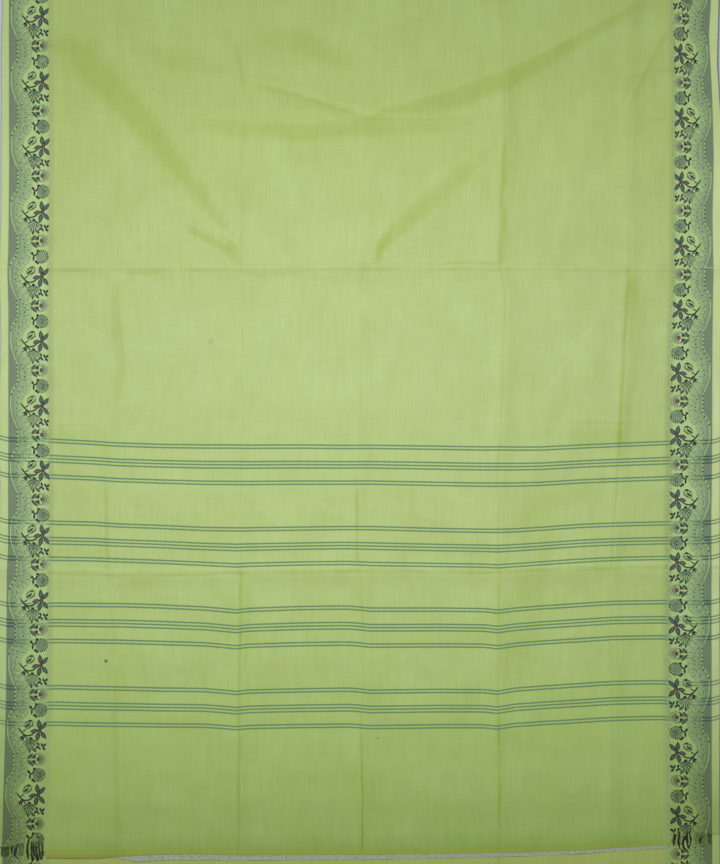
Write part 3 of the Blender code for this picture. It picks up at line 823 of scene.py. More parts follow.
def drawLaceWork(charts):
    pale, mid, dark, lift = charts["pale"], charts["mid"], charts["dark"], lifts["yarn"]
    for i in range(feather["count"]):  # feathered inner edge
        down = border["drawnPitch"] * i / feather["count"]
        across = edgeAt(laceEdge, down)
        length = feather["length"] * (0.72 + 0.28 * math.sin(i * 2.1))
        slant = feather["slant"] * math.cos(2 * math.pi * down / border["drawnPitch"])
        bend = (across - length / 2, down - slant * 0.4)
        line = ((across - length, down - slant), bend, (across + feather["past"], down))
        pale.stroke(line, feather["line"], lift, 2)
        half = down + border["drawnPitch"] / feather["count"] / 2
        if i % 3:
            line = ((across - length * 0.6, half - slant), (across - feather["gap"], half))
            mid.stroke(line, feather["line"] * 0.5, lift, 2)
    for i in range(feather["count"]):  # finer strokes towards the dark band
        down = border["drawnPitch"] * (i + 0.3) / feather["count"]
        across = edgeAt(bandEdge, down)
        line = [(across + sideways, down + lower) for sideways, lower in bandStroke]
        mid.stroke(line, feather["line"] * 0.7, lift, 2)
    for i, (across, down) in enumerate(veinDots):
        tone = charts["vein"] if i % 3 else dark
        tone.leaf((across - 0.7, down - 1.3), (across + 0.7, down + 1.3), 1.5, lift, 4)
    down = teeth["first"]
    while down < teeth["last"]:  # saw-toothed edge of the dark band
        across, half = edgeAt(bandEdge, down), teeth["step"] / 2
        foot = across + teeth["foot"]
        line = ((foot, down - half), (across + teeth["peak"], down), (foot, down + half))
        pale.stroke(line, teeth["line"], lift, 2)
        root, tip = (across - teeth["root"], down + half), (across + teeth["reach"], down + half)
        dark.leaf(root, tip, teeth["width"], lift, 4)
        down += teeth["step"]
    downs = np.linspace(smoothEdge["start"], smoothEdge["stop"], smoothEdge["points"])
    line = [(edgeAt(bandEdge, down) + smoothEdge["past"], down) for down in downs]
    pale.stroke(line, smoothEdge["line"], lift, 1)


def between(first, second, share):
    return np.array(first) + (np.array(second) - np.array(first)) * share


def drawLeaves(charts):  # the five-petalled flower and every dark leaf
    for base, tip, width in petals:
        charts["dark"].leaf(base, tip, width, lifts["yarn"])
        low, high = between(base, tip, 0.16), between(base, tip, 0.84)
        charts["vein"].leaf(low, high, width * 0.6, lifts["inner"], 4)
    for base, tip, width in darkLeaves:
        charts["dark"].leaf(base, tip, width, lifts["yarn"])


def drawBell(charts):  # the drooping bell flower
    for tip in droopTips:
        charts["mid"].leaf(between(droopBase, tip, 0.08), tip, 3.8, lifts["yarn"])
        low, high = between(droopBase, tip, 0.3), between(droopBase, tip, 0.8)
        charts["dark"].leaf(low, high, 0.8, lifts["inner"], 4)
    for first, second in zip(droopTips, droopTips[1:]):
        tip = between(first, second, 0.5)
        low, high = between(droopBase, tip, 0.35), between(droopBase, tip, 0.85)
        charts["pale"].leaf(low, high, 0.9, lifts["inner"], 4)
    for across, down, radius in bellBase:
        charts["soft"].disc(across, down, radius, lifts["base"], 8)


def drawStems(charts):
    for base, tip, width in smudges:
        charts["mid"].leaf(base, tip, width, lifts["yarn"], 4)
    charts["dark"].disc(*flowerHeart, lifts["yarn"], 8)
    for line, width in stems:
        charts["dark"].stroke(line, width, lifts["yarn"])
    for across, down, radius in darkDots:
        charts["dark"].disc(across, down, radius, lifts["yarn"])
    for across, down, radius in (flowerEye, roseEye):
        charts["red"].disc(across, down, radius, lifts["inner"], 8)


def drawBud(charts):  # a tilted oval
    spin = math.radians(bud["turn"])
    line = []
    for turn in np.radians(np.linspace(0, 360, 19)):
        far, near = bud["long"] * math.cos(turn), bud["short"] * math.sin(turn)
        line.append((bud["centre"][0] + far * math.cos(spin) + near * math.sin(spin),
                     bud["centre"][1] - far * math.sin(spin) + near * math.cos(spin)))
    charts["mid"].ribbon(line, np.full(len(line), bud["line"] / 2), lifts["yarn"])


def drawRose(charts):
    centre, lift = roseEye[:2], lifts["yarn"]
    charts["vein"].disc(*centre, rose["heart"], lifts["base"], 10)
    charts["dark"].arc(centre, rose["ring"], 90, 270, rose["ringLine"], lift)
    charts["mid"].arc(centre, rose["middle"], -100, 100, rose["middleLine"], lift, 20)
    charts["soft"].arc(centre, rose["outline"], -125, 125, rose["outlineLine"], lift, 32, rose["lobes"])


def drawFan(charts):
    centre, lift = fan["centre"], lifts["yarn"]
    charts["soft"].disc(*centre, fan["disc"], lifts["base"], 14)
    for i in range(fan["ribs"]):
        turn = fan["spread"] * (2 * i / (fan["ribs"] - 1) - 1)
        charts["dark"].ray(centre, turn, fan["inner"], fan["outer"], fan["line"], lift)
    for i in range(fan["veins"]):
        turn = fan["veinSpread"] * (2 * i / (fan["veins"] - 1) - 1)
        tone = charts["vein"] if i % 2 else charts["mid"]
        tone.ray(centre, turn, fan["veinStart"], fan["veinReach"], fan["veinLine"], lift)
        charts["pale"].ray(centre, turn + 9, fan["veinStart"] + 2, fan["veinReach"] + 1, 0.8, lift)
    turn = math.radians(hatch["turn"])
    way, aside = np.array((math.cos(turn), math.sin(turn))), np.array((-math.sin(turn), math.cos(turn)))
    for offset in hatch["offsets"]:
        half = math.sqrt(fan["inner"] ** 2 - offset**2) * 0.9
        middle = np.array(centre) + offset * aside
        line = (middle - way * half, middle, middle + way * half)
        charts["vein"].stroke(line, hatch["line"], lifts["inner"], 2)


# Stripes woven across the cloth, near the outer end

stripes = {
    "offsets": (0.0, 5.0, 25.4, 30.4, 35.6, 55.8, 60.8),  # lines of one group, in mm from its first
    "lastGroup": 260.0,  # first line of the group nearest the end, from the end
    "groupPitch": 127.03,
    "groups": 4,
    "line": 2.3,
}


def drawStripes():
    chart = Chart()
    columns = clothColumns() - flatPlace("leftSelvedge")
    across = np.unique(np.concatenate([columns, (columns[1:] + columns[:-1]) / 2]))
    for offset in stripes["offsets"]:
        middle = (stripes["lastGroup"] - offset) * mm
        half = stripes["line"] * mm / 2
        start = len(chart.points)
        for place in across:
            chart.points += [(place, edge, lifts["stripe"]) for edge in (middle - half, middle + half)]
        last = start + 2 * (len(across) - 1)
        chart.faces += [(k, k + 2, k + 3, k + 1) for k in range(start, last, 2)]
    return chart


# Geometry Nodes: repeat a flat chart along the cloth and lay it on the cloth's surface

def newTree(name, inputs):
    tree = bpy.data.node_groups.new(name, "GeometryNodeTree")
    tree.interface.new_socket("Geometry", in_out="INPUT", socket_type="NodeSocketGeometry")
    for label, kind in inputs.items():
        tree.interface.new_socket(label, in_out="INPUT", socket_type="NodeSocket" + kind)
    tree.interface.new_socket("Geometry", in_out="OUTPUT", socket_type="NodeSocketGeometry")
    maker = Maker(tree)
    return maker, maker.node("NodeGroupInput")


def finishTree(maker, geometry, material):
    whole = maker.node("GeometryNodeRealizeInstances", {}, {"Geometry": geometry})[0]
    dressed = maker.node("GeometryNodeSetMaterial", {}, {"Geometry": whole, "Material": material})[0]
    maker.node("NodeGroupOutput", {}, {0: dressed})
    return maker.tree


def layOnCloth():
    maker, given = newTree("layOnCloth", {
        "Cloth": "Object", "First": "Int", "Repeats": "Int", "Pitch": "Float", "Under First": "Int",
        "Under Repeats": "Int", "Under Slip": "Float", "Left Under Slip": "Float", "Middle": "Float",
        "Half Thickness": "Float", "Material": "Material"})
    guide = maker.node("GeometryNodeObjectInfo", {}, {"Object": given["Cloth"]})["Geometry"]
    flat = maker.node("GeometryNodeInputNamedAttribute", {"data_type": "FLOAT_VECTOR"}, {"Name": "flat"})[0]
    whole = []
    for under in (False, True):
        start = given["Pitch"] * given["Under First" if under else "First"]
        if under:
            start = start + given["Under Slip"]
        count = given["Under Repeats" if under else "Repeats"]
        first, step = maker.vector(y=start), maker.vector(y=given["Pitch"])
        points = maker.node("GeometryNodeMeshLine", {},
                            {"Count": count, "Start Location": first, "Offset": step})[0]
        copies = maker.node("GeometryNodeInstanceOnPoints", {},
                            {"Points": points, "Instance": given["Geometry"]})[0]
        copies = maker.node("GeometryNodeRealizeInstances", {}, {"Geometry": copies})[0]
        at = maker.node("GeometryNodeInputPosition")[0]
        copies = maker.node("GeometryNodeStoreNamedAttribute", {"data_type": "FLOAT2", "domain": "CORNER"},
                            {"Geometry": copies, "Name": "flat", "Value": at})[0]
        parts = maker.node("ShaderNodeSeparateXYZ", {}, {"Vector": at})
        isLeft = parts["X"].math("LESS_THAN", parts["X"], given["Middle"])
        down = parts["Y"] + isLeft * given["Left Under Slip"] if under else parts["Y"]
        spot = maker.vector(parts["X"], down)
        found, ways = [maker.node("GeometryNodeSampleUVSurface", {"data_type": "FLOAT_VECTOR"},
                                  {"Mesh": guide, "Value": value, "Source UV Map": flat, "Sample UV": spot})
                       for value in (at, maker.node("GeometryNodeInputNormal")[0])]
        lift = parts["Z"] + given["Half Thickness"]
        reach = maker.node("ShaderNodeVectorMath", {"operation": "SCALE"},
                           {"Vector": ways["Value"], "Scale": lift * (-1.0 if under else 1.0)})[0]
        target = maker.node("ShaderNodeVectorMath", {"operation": "ADD"}, {0: found["Value"], 1: reach})[0]
        missed = maker.node("FunctionNodeBooleanMath", {"operation": "NOT"}, {0: found["Is Valid"]})[0]
        copies = maker.node("GeometryNodeDeleteGeometry", {"domain": "POINT"},
                            {"Geometry": copies, "Selection": missed})[0]
        copies = maker.node("GeometryNodeSetPosition", {}, {"Geometry": copies, "Position": target})[0]
        if under:
            copies = maker.node("GeometryNodeFlipFaces", {}, {"Mesh": copies})[0]
        whole.append(copies)
    joined = maker.node("GeometryNodeJoinGeometry", {}, {})
    for copies in reversed(whole):
        maker.tree.links.new(copies.socket, joined.made.inputs[0])
    smooth = maker.node("GeometryNodeSetShadeSmooth", {}, {"Geometry": joined[0]})[0]
    return finishTree(maker, smooth, given["Material"])


# Geometry Nodes: loose yarns hanging from an edge line

looseYarn = {
    "sides": 5,
    "points": 10,  # along each yarn
    "shortest": 0.15,  # share of the length left at the far ends of a tapered row
    "drop": 0.1 * mm,
    "over": 0.9 * mm,  # the most that the roots rise to lie over the cloth
    "edgePoints": 40,
}


def yarnTubes(maker, given, lines):
    ring = maker.node("GeometryNodeCurvePrimitiveCircle", {},
                      {"Resolution": looseYarn["sides"], "Radius": given["Radius"]})[0]
    tubes = maker.node("GeometryNodeCurveToMesh", {},
                       {"Curve": lines, "Profile Curve": ring, "Fill Caps": True})[0]
    return finishTree(maker, tubes, given["Material"])


def yarnRow():
    maker, given = newTree("yarnRow", {
        "Count": "Int", "Left Length": "Float", "Right Length": "Float", "Radius": "Float", "Sway": "Float",
        "Bundle Pitch": "Float", "Bundle Start": "Float", "Bundle Pull": "Float", "Uneven": "Float",
        "Drop": "Float", "Taper": "Float", "Overlap": "Float", "Seed": "Int", "Material": "Material"})
    edge = maker.node("GeometryNodeMeshToCurve", {}, {"Mesh": given["Geometry"]})[0]
    edge = maker.node("GeometryNodeResampleCurve", {}, {"Curve": edge, "Count": given["Count"]})[0]
    share = maker.node("GeometryNodeSplineParameter")["Factor"]
    length = given["Left Length"] + share * (given["Right Length"] - given["Left Length"])
    growth = (share / (given["Taper"] + 0.0001)).step(0.0, 1.0)
    length = length * (growth * (1 - looseYarn["shortest"]) + looseYarn["shortest"])
    place = maker.node("GeometryNodeInputPosition")[0]
    root = maker.node("ShaderNodeSeparateXYZ", {}, {"Vector": place})["X"]
    bundle = root.math("ROUND", (root - given["Bundle Start"]) / given["Bundle Pitch"])
    chance = maker.node("FunctionNodeRandomValue", {"data_type": "FLOAT"},
                        {"Min_001": -1.0, "Max_001": 1.0, "ID": bundle, "Seed": given["Seed"]})["Value_001"]
    size = maker.vector(1.0, length * (chance * given["Uneven"] + 1.0), 1.0)
    strand = maker.node("GeometryNodeCurvePrimitiveLine", {}, {"Start": (0, 0, 0), "End": (0, -1, 0)})[0]
    strand = maker.node("GeometryNodeResampleCurve", {}, {"Curve": strand, "Count": looseYarn["points"]})[0]
    strands = maker.node("GeometryNodeInstanceOnPoints", {},
                         {"Points": edge, "Instance": strand, "Scale": size})[0]
    strands = maker.node("GeometryNodeRealizeInstances", {}, {"Geometry": strands})[0]
    at = maker.node("GeometryNodeInputPosition")[0]
    parts = maker.node("ShaderNodeSeparateXYZ", {}, {"Vector": at})
    across = parts["X"]
    down = maker.node("GeometryNodeSplineParameter")["Factor"]
    turn = across.math("ROUND", (across - given["Bundle Start"]) / given["Bundle Pitch"])
    middle = turn * given["Bundle Pitch"] + given["Bundle Start"]
    bundlePlace = maker.vector(turn * 7.3, parts["Y"] * 130.0, given["Seed"] * 1.7)
    wander = (maker.noise(bundlePlace, 1.0, 1.0) - 0.5) * given["Sway"] * 4.0
    loose = (maker.noise(at, 700.0, 1.0) - 0.5) * given["Sway"] * 0.6
    freed = down.step(0.0, 0.6)
    gather = (middle - across) * given["Bundle Pull"] * (down.step(0.0, 0.25) * 0.5 + 0.5)
    sideways = gather + (wander + loose) * freed
    fall = given["Drop"] * freed * -1.0
    height = (maker.noise(at, 1400.0, 0.0) - 0.5) * given["Radius"] * 3.0
    start = maker.noise(maker.vector(turn * 3.1, given["Seed"] * 2.3), 1.0, 0.0)
    climb = (start * 1.6 - 0.3) * given["Overlap"] * (1.0 - down)
    over = down.math("MINIMUM", given["Overlap"], looseYarn["over"]) * (1.0 - down.step(0.15, 0.45))
    shift = maker.vector(sideways, climb, fall + height + over)
    strands = maker.node("GeometryNodeSetPosition", {}, {"Geometry": strands, "Offset": shift})[0]
    return yarnTubes(maker, given, strands)


# Geometry Nodes: a bundle of loose yarns along each given line, as wide as the line's own attribute says

tuftYarn = {
    "points": 14,
    "radius": 0.36 * mm,
    "sway": 0.5 * mm,
    "rise": 0.9 * mm,  # of a bundle's middle over the cloth
    "drop": 0.5 * mm,  # and how far it sinks past the cut end, within the run
    "dropRun": 8 * mm,
    "flat": 0.3,  # height of a bundle as a share of its width
}


def tuftTree():
    maker, given = newTree("tuftBundles", {
        "Yarns": "Int", "Radius": "Float", "Sway": "Float", "Seed": "Int", "Material": "Material"})
    lines = maker.node("GeometryNodeMeshToCurve", {}, {"Mesh": given["Geometry"]})[0]
    lines = maker.node("GeometryNodeResampleCurve", {}, {"Curve": lines, "Count": tuftYarn["points"]})[0]
    lines = maker.node("GeometryNodeDuplicateElements", {"domain": "SPLINE"},
                       {"Geometry": lines, "Amount": given["Yarns"]})["Geometry"]
    index = maker.node("GeometryNodeInputIndex")[0]
    lines = maker.node("GeometryNodeStoreNamedAttribute", {"data_type": "FLOAT", "domain": "CURVE"},
                       {"Geometry": lines, "Name": "strand", "Value": index})[0]
    strand = maker.node("GeometryNodeInputNamedAttribute", {"data_type": "FLOAT"}, {"Name": "strand"})[0]
    width = maker.node("GeometryNodeInputNamedAttribute", {"data_type": "FLOAT"}, {"Name": "halfWidth"})[0]
    down = maker.node("GeometryNodeSplineParameter")["Factor"]
    chances = []
    for step, (low, high) in enumerate(((0.0, 6.28), (0.1, 1.0), (-1.0, 1.0))):
        choice = {"Min_001": low, "Max_001": high, "ID": strand, "Seed": given["Seed"] + step}
        chances.append(maker.node("FunctionNodeRandomValue", {"data_type": "FLOAT"}, choice)["Value_001"])
    turn, reach, drag = chances
    turn = turn + down * 3.0
    sway = (maker.noise(maker.vector(strand * 5.3, down * 3.0), 1.0, 1.0) - 0.5) * given["Sway"] * 2.0
    sideways = turn.math("COSINE", turn) * reach * width + sway
    rise = turn.math("SINE", turn) * reach * width * tuftYarn["flat"]
    shift = maker.vector(sideways, drag * width * down, rise)
    lines = maker.node("GeometryNodeSetPosition", {}, {"Geometry": lines, "Offset": shift})[0]
    return yarnTubes(maker, given, lines)


def runTree(piece, tree, values):  # evaluates the tree once and keeps a plain mesh
    modifier = piece.modifiers.new(tree.name, "NODES")
    modifier.node_group = tree
    for item in tree.interface.items_tree:
        if item.in_out == "INPUT" and item.name in values:
            modifier[item.identifier] = values[item.name]
    graph = bpy.context.evaluated_depsgraph_get()
    mesh = bpy.data.meshes.new_from_object(piece.evaluated_get(graph), preserve_all_data_layers=True,
                                           depsgraph=graph)
    piece.modifiers.remove(modifier)
    old, piece.data = piece.data, mesh
    bpy.data.meshes.remove(old)
    return piece


# Finishes

ground = {
    "deepShare": (0.73, 0.79, 0.30, 1.0),  # what stays of the colour under painted shade, where the cloth is drawn or creased
    "paleShare": (1.13, 1.08, 1.12, 1.0),  # and what painted highlight makes of it along its bright ridges
    "borderGround": shown(181, 206, 138),
    "borderRim": shown(158, 178, 108),
    "selvedge": shown(191, 212, 143),
    "rightSelvedge": shown(200, 218, 152),
    "heading": shown(149, 169, 62),
    "headingLine": shown(145, 152, 66),
    "rimTick": shown(140, 166, 108),
}
toneLength = 1.40  # the outer part, over which painted shade runs to a painted highlight in the middle and back to painted shade
clothShadedTones = (  # distance from the woven end, and the cotton's colour there with painted light: a painted highlight in the middle, painted shade towards the ends, and the reverse side's own tone at the last stop
    (0.00, (0.262, 0.395, 0.072)), (0.035, (0.340, 0.484, 0.116)), (0.18, (0.394, 0.547, 0.147)),
    (0.30, (0.432, 0.574, 0.172)), (0.54, (0.451, 0.581, 0.193)), (0.80, (0.451, 0.579, 0.206)),
    (0.945, (0.440, 0.565, 0.188)), (1.117, (0.420, 0.551, 0.160)), (1.21, (0.392, 0.519, 0.144)),
    (1.34, (0.384, 0.512, 0.142)), (1.37, (0.400, 0.490, 0.120)),
)
stains = {  # place in metres, radius, colour, strength
    "darkSpot": ((-0.3962, -0.3572), 3.6 * mm, shown(92, 66, 70), 0.85),
    "greenSpot": ((-0.2324, 0.1420), 5.5 * mm, shown(146, 172, 92), 0.50),
    "lowSpot": ((0.0281, -0.4774), 2.2 * mm, shown(96, 118, 66), 0.6),
    "highSpot": ((-0.3229, 0.5351), 2.4 * mm, shown(120, 140, 66), 0.45),
    "leftSpot": ((-0.4524, 0.3947), 2.4 * mm, shown(120, 140, 66), 0.4),
}
weave = {
    "creaseBlend": 0.40,  # share of painted shade in a packing crease, in a drag fold and in a wrinkle
    "dragBlend": 0.66,
    "wrinkleBlend": 0.62,
    "wander": 4 * mm,  # how far the wrinkles wave
    "bump": 0.3 * mm,
}
edgeStrip = {  # from the selvedge
    "selvedge": (10 * mm, 13 * mm),
    "ground": (70 * mm, 76 * mm),
    "rim": (78 * mm, 8 * mm),  # middle and half width
    "rimTicks": (75.5 * mm, 6 * mm),
}
headingBand = {  # from the woven end, and from the selvedge
    "band": (7 * mm, 13 * mm),
    "line": (0.8 * mm, 2.2 * mm),
    "borders": (66 * mm, 72 * mm),
}
endShadeTones = (  # painted shade of the border, darker towards the ends of the outer part like the cloth's
    (0.00, (0.54, 0.58, 0.38)), (0.04, (0.60, 0.64, 0.44)), (0.10, (0.70, 0.74, 0.56)),
    (0.18, (0.77, 0.81, 0.68)), (0.30, (0.92, 0.94, 0.90)), (0.54, (1.0, 1.0, 1.0)),
    (1.00, (1.0, 1.0, 1.0)), (1.21, (0.90, 0.92, 0.88)), (1.34, (0.88, 0.90, 0.86)),
    (1.37, (0.70, 0.74, 0.56)),
)


def endShade(maker, along):
    stops = [(place / toneLength, tone + (1.0,)) for place, tone in endShadeTones]
    return maker.node("ShaderNodeValToRGB", {"stops": stops}, {"Fac": along / toneLength})["Color"]


def wrinkleShading(maker, place):  # each stretch of a wrinkle is a long soft ellipse of painted shade or painted highlight
    wander = maker.node("ShaderNodeTexNoise", {}, {"Vector": place, "Scale": 60.0, "Detail": 1.0})["Color"]
    place = maker.node("ShaderNodeVectorMath", {"operation": "MULTIPLY_ADD"},
                       {0: wander, 1: (weave["wander"], weave["wander"], 0), 2: place})[0]
    total = 0.0
    for line, halfWidth, strength in wrinkles.values():
        for first, second in zip(line, line[1:]):
            run = (second[0] - first[0], second[1] - first[1])
            centre = ((first[0] + second[0]) / 2 * mm + 2 * mm, (first[1] + second[1]) / 2 * mm + 2 * mm, 0)
            size = ((math.hypot(*run) * 0.75 + halfWidth) * mm, halfWidth * 1.6 * mm, 1)
            turn = (0, 0, math.atan2(run[1], run[0]))
            local = maker.node("ShaderNodeMapping", {"vector_type": "TEXTURE"},
                               {"Vector": place, "Location": centre, "Rotation": turn, "Scale": size})[0]
            near = maker.node("ShaderNodeTexGradient", {"gradient_type": "SPHERICAL"}, {"Vector": local})[1]
            total = near.math("MULTIPLY_ADD", near, strength, total)
    return total


def makeClothMaterial():
    material, shader, maker = newMaterial("greenCotton", 0.60, 0.5)
    flat = maker.node("ShaderNodeUVMap", {"uv_map": "flat"})[0]
    parts = maker.node("ShaderNodeSeparateXYZ", {}, {"Vector": flat})
    across, along = parts["X"], parts["Y"]
    fromEdge = across.math("MINIMUM", across, cloth["width"] - across)
    warp = maker.noise(maker.vector(across * 480.0, along * 14.0), 1.0, 3.0)
    weft = maker.noise(maker.vector(across * 16.0, along * 420.0), 1.0, 3.0)
    slub = maker.noise(maker.vector(across * 90.0, along * 16.0), 1.0, 2.0)
    blotch = maker.noise(flat, 13.0, 5.0)
    smudge = maker.noise(flat, 55.0, 3.0)
    crease = maker.node("ShaderNodeAttribute", {"attribute_name": "creaseTint"})["Fac"]
    drag = maker.node("ShaderNodeAttribute", {"attribute_name": "dragTint"})["Fac"]
    # the cotton's colour along the cloth, with a painted highlight in the middle and painted shade towards
    # the ends
    stops = [(place / toneLength, tone + (1.0,)) for place, tone in clothShadedTones]
    colour = maker.node("ShaderNodeValToRGB", {"stops": stops}, {"Fac": along / toneLength})["Color"]
    colour = maker.mix(fromEdge.near(*edgeStrip["rim"]) * warp, colour, ground["borderRim"])
    ticks = maker.noise(maker.vector(across * 420.0, along * 300.0), 1.0, 1.0)
    # painted shade on the border and selvedge, darker towards the ends
    toned = endShade(maker, along)
    borderGround = maker.mix(1.0, ground["borderGround"], toned, "MULTIPLY")
    selvedge = maker.mix(across.step(0.5, 0.6), ground["selvedge"], ground["rightSelvedge"])
    selvedge = maker.mix(1.0, selvedge, toned, "MULTIPLY")
    colour = maker.mix(fromEdge.step(*edgeStrip["ground"]) * -0.7 + 0.7, colour, borderGround)
    rightSide = across.step(0.5, 0.6) * 0.5 + 0.4
    tickShare = fromEdge.near(*edgeStrip["rimTicks"]) * ticks.step(0.42, 0.60) * rightSide
    colour = maker.mix(tickShare, colour, ground["rimTick"])
    colour = maker.mix(1 - fromEdge.step(*edgeStrip["selvedge"]), colour, selvedge)
    place = maker.node("ShaderNodeTexCoord")["Object"]
    wrinkle = wrinkleShading(maker, place)
    # painted shade in creases, drag bands and wrinkles; below zero it is painted highlight
    paintedShading = crease * weave["creaseBlend"] + drag * weave["dragBlend"] + wrinkle * weave["wrinkleBlend"]
    deep = maker.mix(1.0, colour, ground["deepShare"], "MULTIPLY")
    bright = maker.mix(1.0, colour, ground["paleShare"], "MULTIPLY")
    colour = maker.mix(paintedShading.math("MINIMUM", paintedShading.math("MAXIMUM", paintedShading, 0.0), 0.95), colour, deep)
    raised = paintedShading * -1.0
    colour = maker.mix(raised.math("MAXIMUM", raised, 0.0), colour, bright)
    inside = fromEdge.step(*headingBand["borders"])
    heading = (1 - along.step(*headingBand["band"])) * inside
    colour = maker.mix(heading * (weft * 0.6 + 0.45), colour, ground["heading"])
    headingEdge = (1 - along.step(*headingBand["line"])) * (1 - across.step(0.26, 0.50) * 0.7) * inside
    colour = maker.mix(headingEdge * 0.85, colour, ground["headingLine"])
    tone = 1.0 + (warp - 0.5) * 0.17 + (weft - 0.5) * 0.10 + (slub - 0.5) * 0.08
    tone = tone + (blotch - 0.5) * 0.16 + (smudge - 0.5) * 0.08
    hazy = 1.0 + (warp - 0.5) * 0.24 + (slub - 0.5) * 0.22 + (blotch - 0.5) * 0.42 + (smudge - 0.5) * 0.24
    colour = maker.mix(1.0, colour, maker.tint(tone, tone, hazy), "MULTIPLY")
    level = maker.node("ShaderNodeVectorMath", {"operation": "MULTIPLY"}, {0: place, 1: (1, 1, 0)})[0]
    for spot, radius, stain, strength in stains.values():
        distance = maker.node("ShaderNodeVectorMath", {"operation": "DISTANCE"},
                              {0: level, 1: spot + (0.0,)})["Value"]
        colour = maker.mix((1 - distance.step(radius * 0.4, radius)) * strength, colour, stain)
    bump = maker.node("ShaderNodeBump", {},
                      {"Strength": 0.25, "Distance": weave["bump"], "Height": warp + weft + slub})[0]
    maker.tree.links.new(colour.socket, shader.inputs["Base Color"])
    maker.tree.links.new(bump.socket, shader.inputs["Normal"])
    return material


yarns = {  # tone of each woven-in yarn
    "dark": shown(58, 70, 68),
    "vein": shown(94, 112, 100),
    "mid": shown(108, 130, 104),
    "soft": shown(138, 160, 122),
    "red": shown(168, 62, 80),
    "pale": shown(186, 212, 140),
    "band": shown(124, 142, 116),
    "lace": shown(150, 174, 130),
    "stripe": shown(112, 146, 108),
    "looseDark": shown(40, 50, 38),
    "looseBand": shown(74, 92, 54),
    "looseBandPale": shown(78, 96, 54),
    "looseLace": shown(106, 130, 74),
    "looseGrey": shown(92, 116, 68),
    "looseGreen": shown(146, 178, 88),
    "bareWarp": shown(178, 190, 166),
}


def makeYarnMaterial(name, colour, uneven=0.25, woven=False):
    material, shader, maker = newMaterial(name, 0.9)
    place = maker.node("ShaderNodeTexCoord")["Object"]
    tone = 1.0 + (maker.noise(place, 360.0, 2.0) - 0.5) * uneven * 2
    if woven:
        flat = maker.node("ShaderNodeUVMap", {"uv_map": "flat"})[0]
        parts = maker.node("ShaderNodeSeparateXYZ", {}, {"Vector": flat})
        along = parts["Y"]
        streaks = maker.vector(parts["X"] * 600.0, along * 30.0)
        tone = tone + (maker.noise(streaks, 1.0, 2.0) - 0.5) * 0.25
    mixed = maker.mix(1.0, colour, maker.tint(tone, tone, tone), "MULTIPLY")
    # woven yarns take the border's painted shade, darker towards the ends
    if woven:
        mixed = maker.mix(1.0, mixed, endShade(maker, along), "MULTIPLY")
    maker.tree.links.new(mixed.socket, shader.inputs["Base Color"])
    return material


stripeTones = (  # distance from the selvedge in mm, and the stripe's tone there, as other yarns cover it
    (0, shown(128, 156, 112)), (11, shown(128, 156, 112)), (14, shown(70, 98, 84)),
    (22, shown(70, 98, 84)),
    (28, shown(108, 140, 104)), (46, shown(120, 152, 112)), (52, shown(150, 182, 126)),
    (70, shown(150, 182, 126)), (78, yarns["stripe"]),
)


def makeStripeMaterial():
    material, shader, maker = newMaterial("stripeYarn", 0.9)
    flat = maker.node("ShaderNodeUVMap", {"uv_map": "flat"})[0]
    parts = maker.node("ShaderNodeSeparateXYZ", {}, {"Vector": flat})
    fromEdge = parts["X"].math("MINIMUM", parts["X"], cloth["width"] - parts["X"])
    full = cloth["width"] / 2
    stops = [(place * mm / full, tone) for place, tone in stripeTones]
    ramp = maker.node("ShaderNodeValToRGB", {"stops": stops}, {"Fac": fromEdge / full})["Color"]
    tone = 1.0 + (maker.noise(maker.vector(parts["X"] * 500.0, parts["Y"] * 30.0), 1.0, 2.0) - 0.5) * 0.3
    mixed = maker.mix(1.0, ramp, maker.tint(tone, tone, tone), "MULTIPLY")
    maker.tree.links.new(mixed.socket, shader.inputs["Base Color"])
    return material


# Build the pieces

clothMaterial = makeClothMaterial()
sareeCloth, endRow = makeCloth(clothMaterial)

charts = {tone: Chart() for tone in ("band", "lace", "soft", "pale", "mid", "dark", "vein", "red")}
for draw in (drawBands, drawLaceWork, drawLeaves, drawBell, drawStems, drawBud, drawRose, drawFan):
    draw(charts)

layTree = layOnCloth()
borderValues = {
    "Cloth": sareeCloth, "First": -1, "Repeats": border["repeats"], "Pitch": border["pitch"] * mm,
    "Under First": border["underFirst"], "Under Repeats": border["underRepeats"],
    "Under Slip": border["underSlip"] * mm, "Left Under Slip": border["leftUnderSlip"] * mm,
    "Middle": cloth["width"] / 2, "Half Thickness": cloth["thickness"] / 2}
unevenTones = {"band": 0.16, "lace": 0.55}
wovenPieces = []
for tone, chart in charts.items():
    piece = newPiece("border" + tone.capitalize(), chart.points, chart.faces)
    material = makeYarnMaterial(tone + "Yarn", yarns[tone], unevenTones.get(tone, 0.25), woven=True)
    wovenPieces.append(runTree(piece, layTree, {**borderValues, "Material": material}))
    print("border", tone, len(piece.data.polygons), "faces")

stripeChart = drawStripes()
stripePiece = newPiece("weftStripes", stripeChart.points, stripeChart.faces)
stripeValues = {**borderValues, "First": 0, "Repeats": stripes["groups"],
                "Pitch": stripes["groupPitch"] * mm, "Under Repeats": 0}
wovenPieces.append(runTree(stripePiece, layTree, {**stripeValues, "Material": makeStripeMaterial()}))
print("stripes", len(stripePiece.data.polygons), "faces")

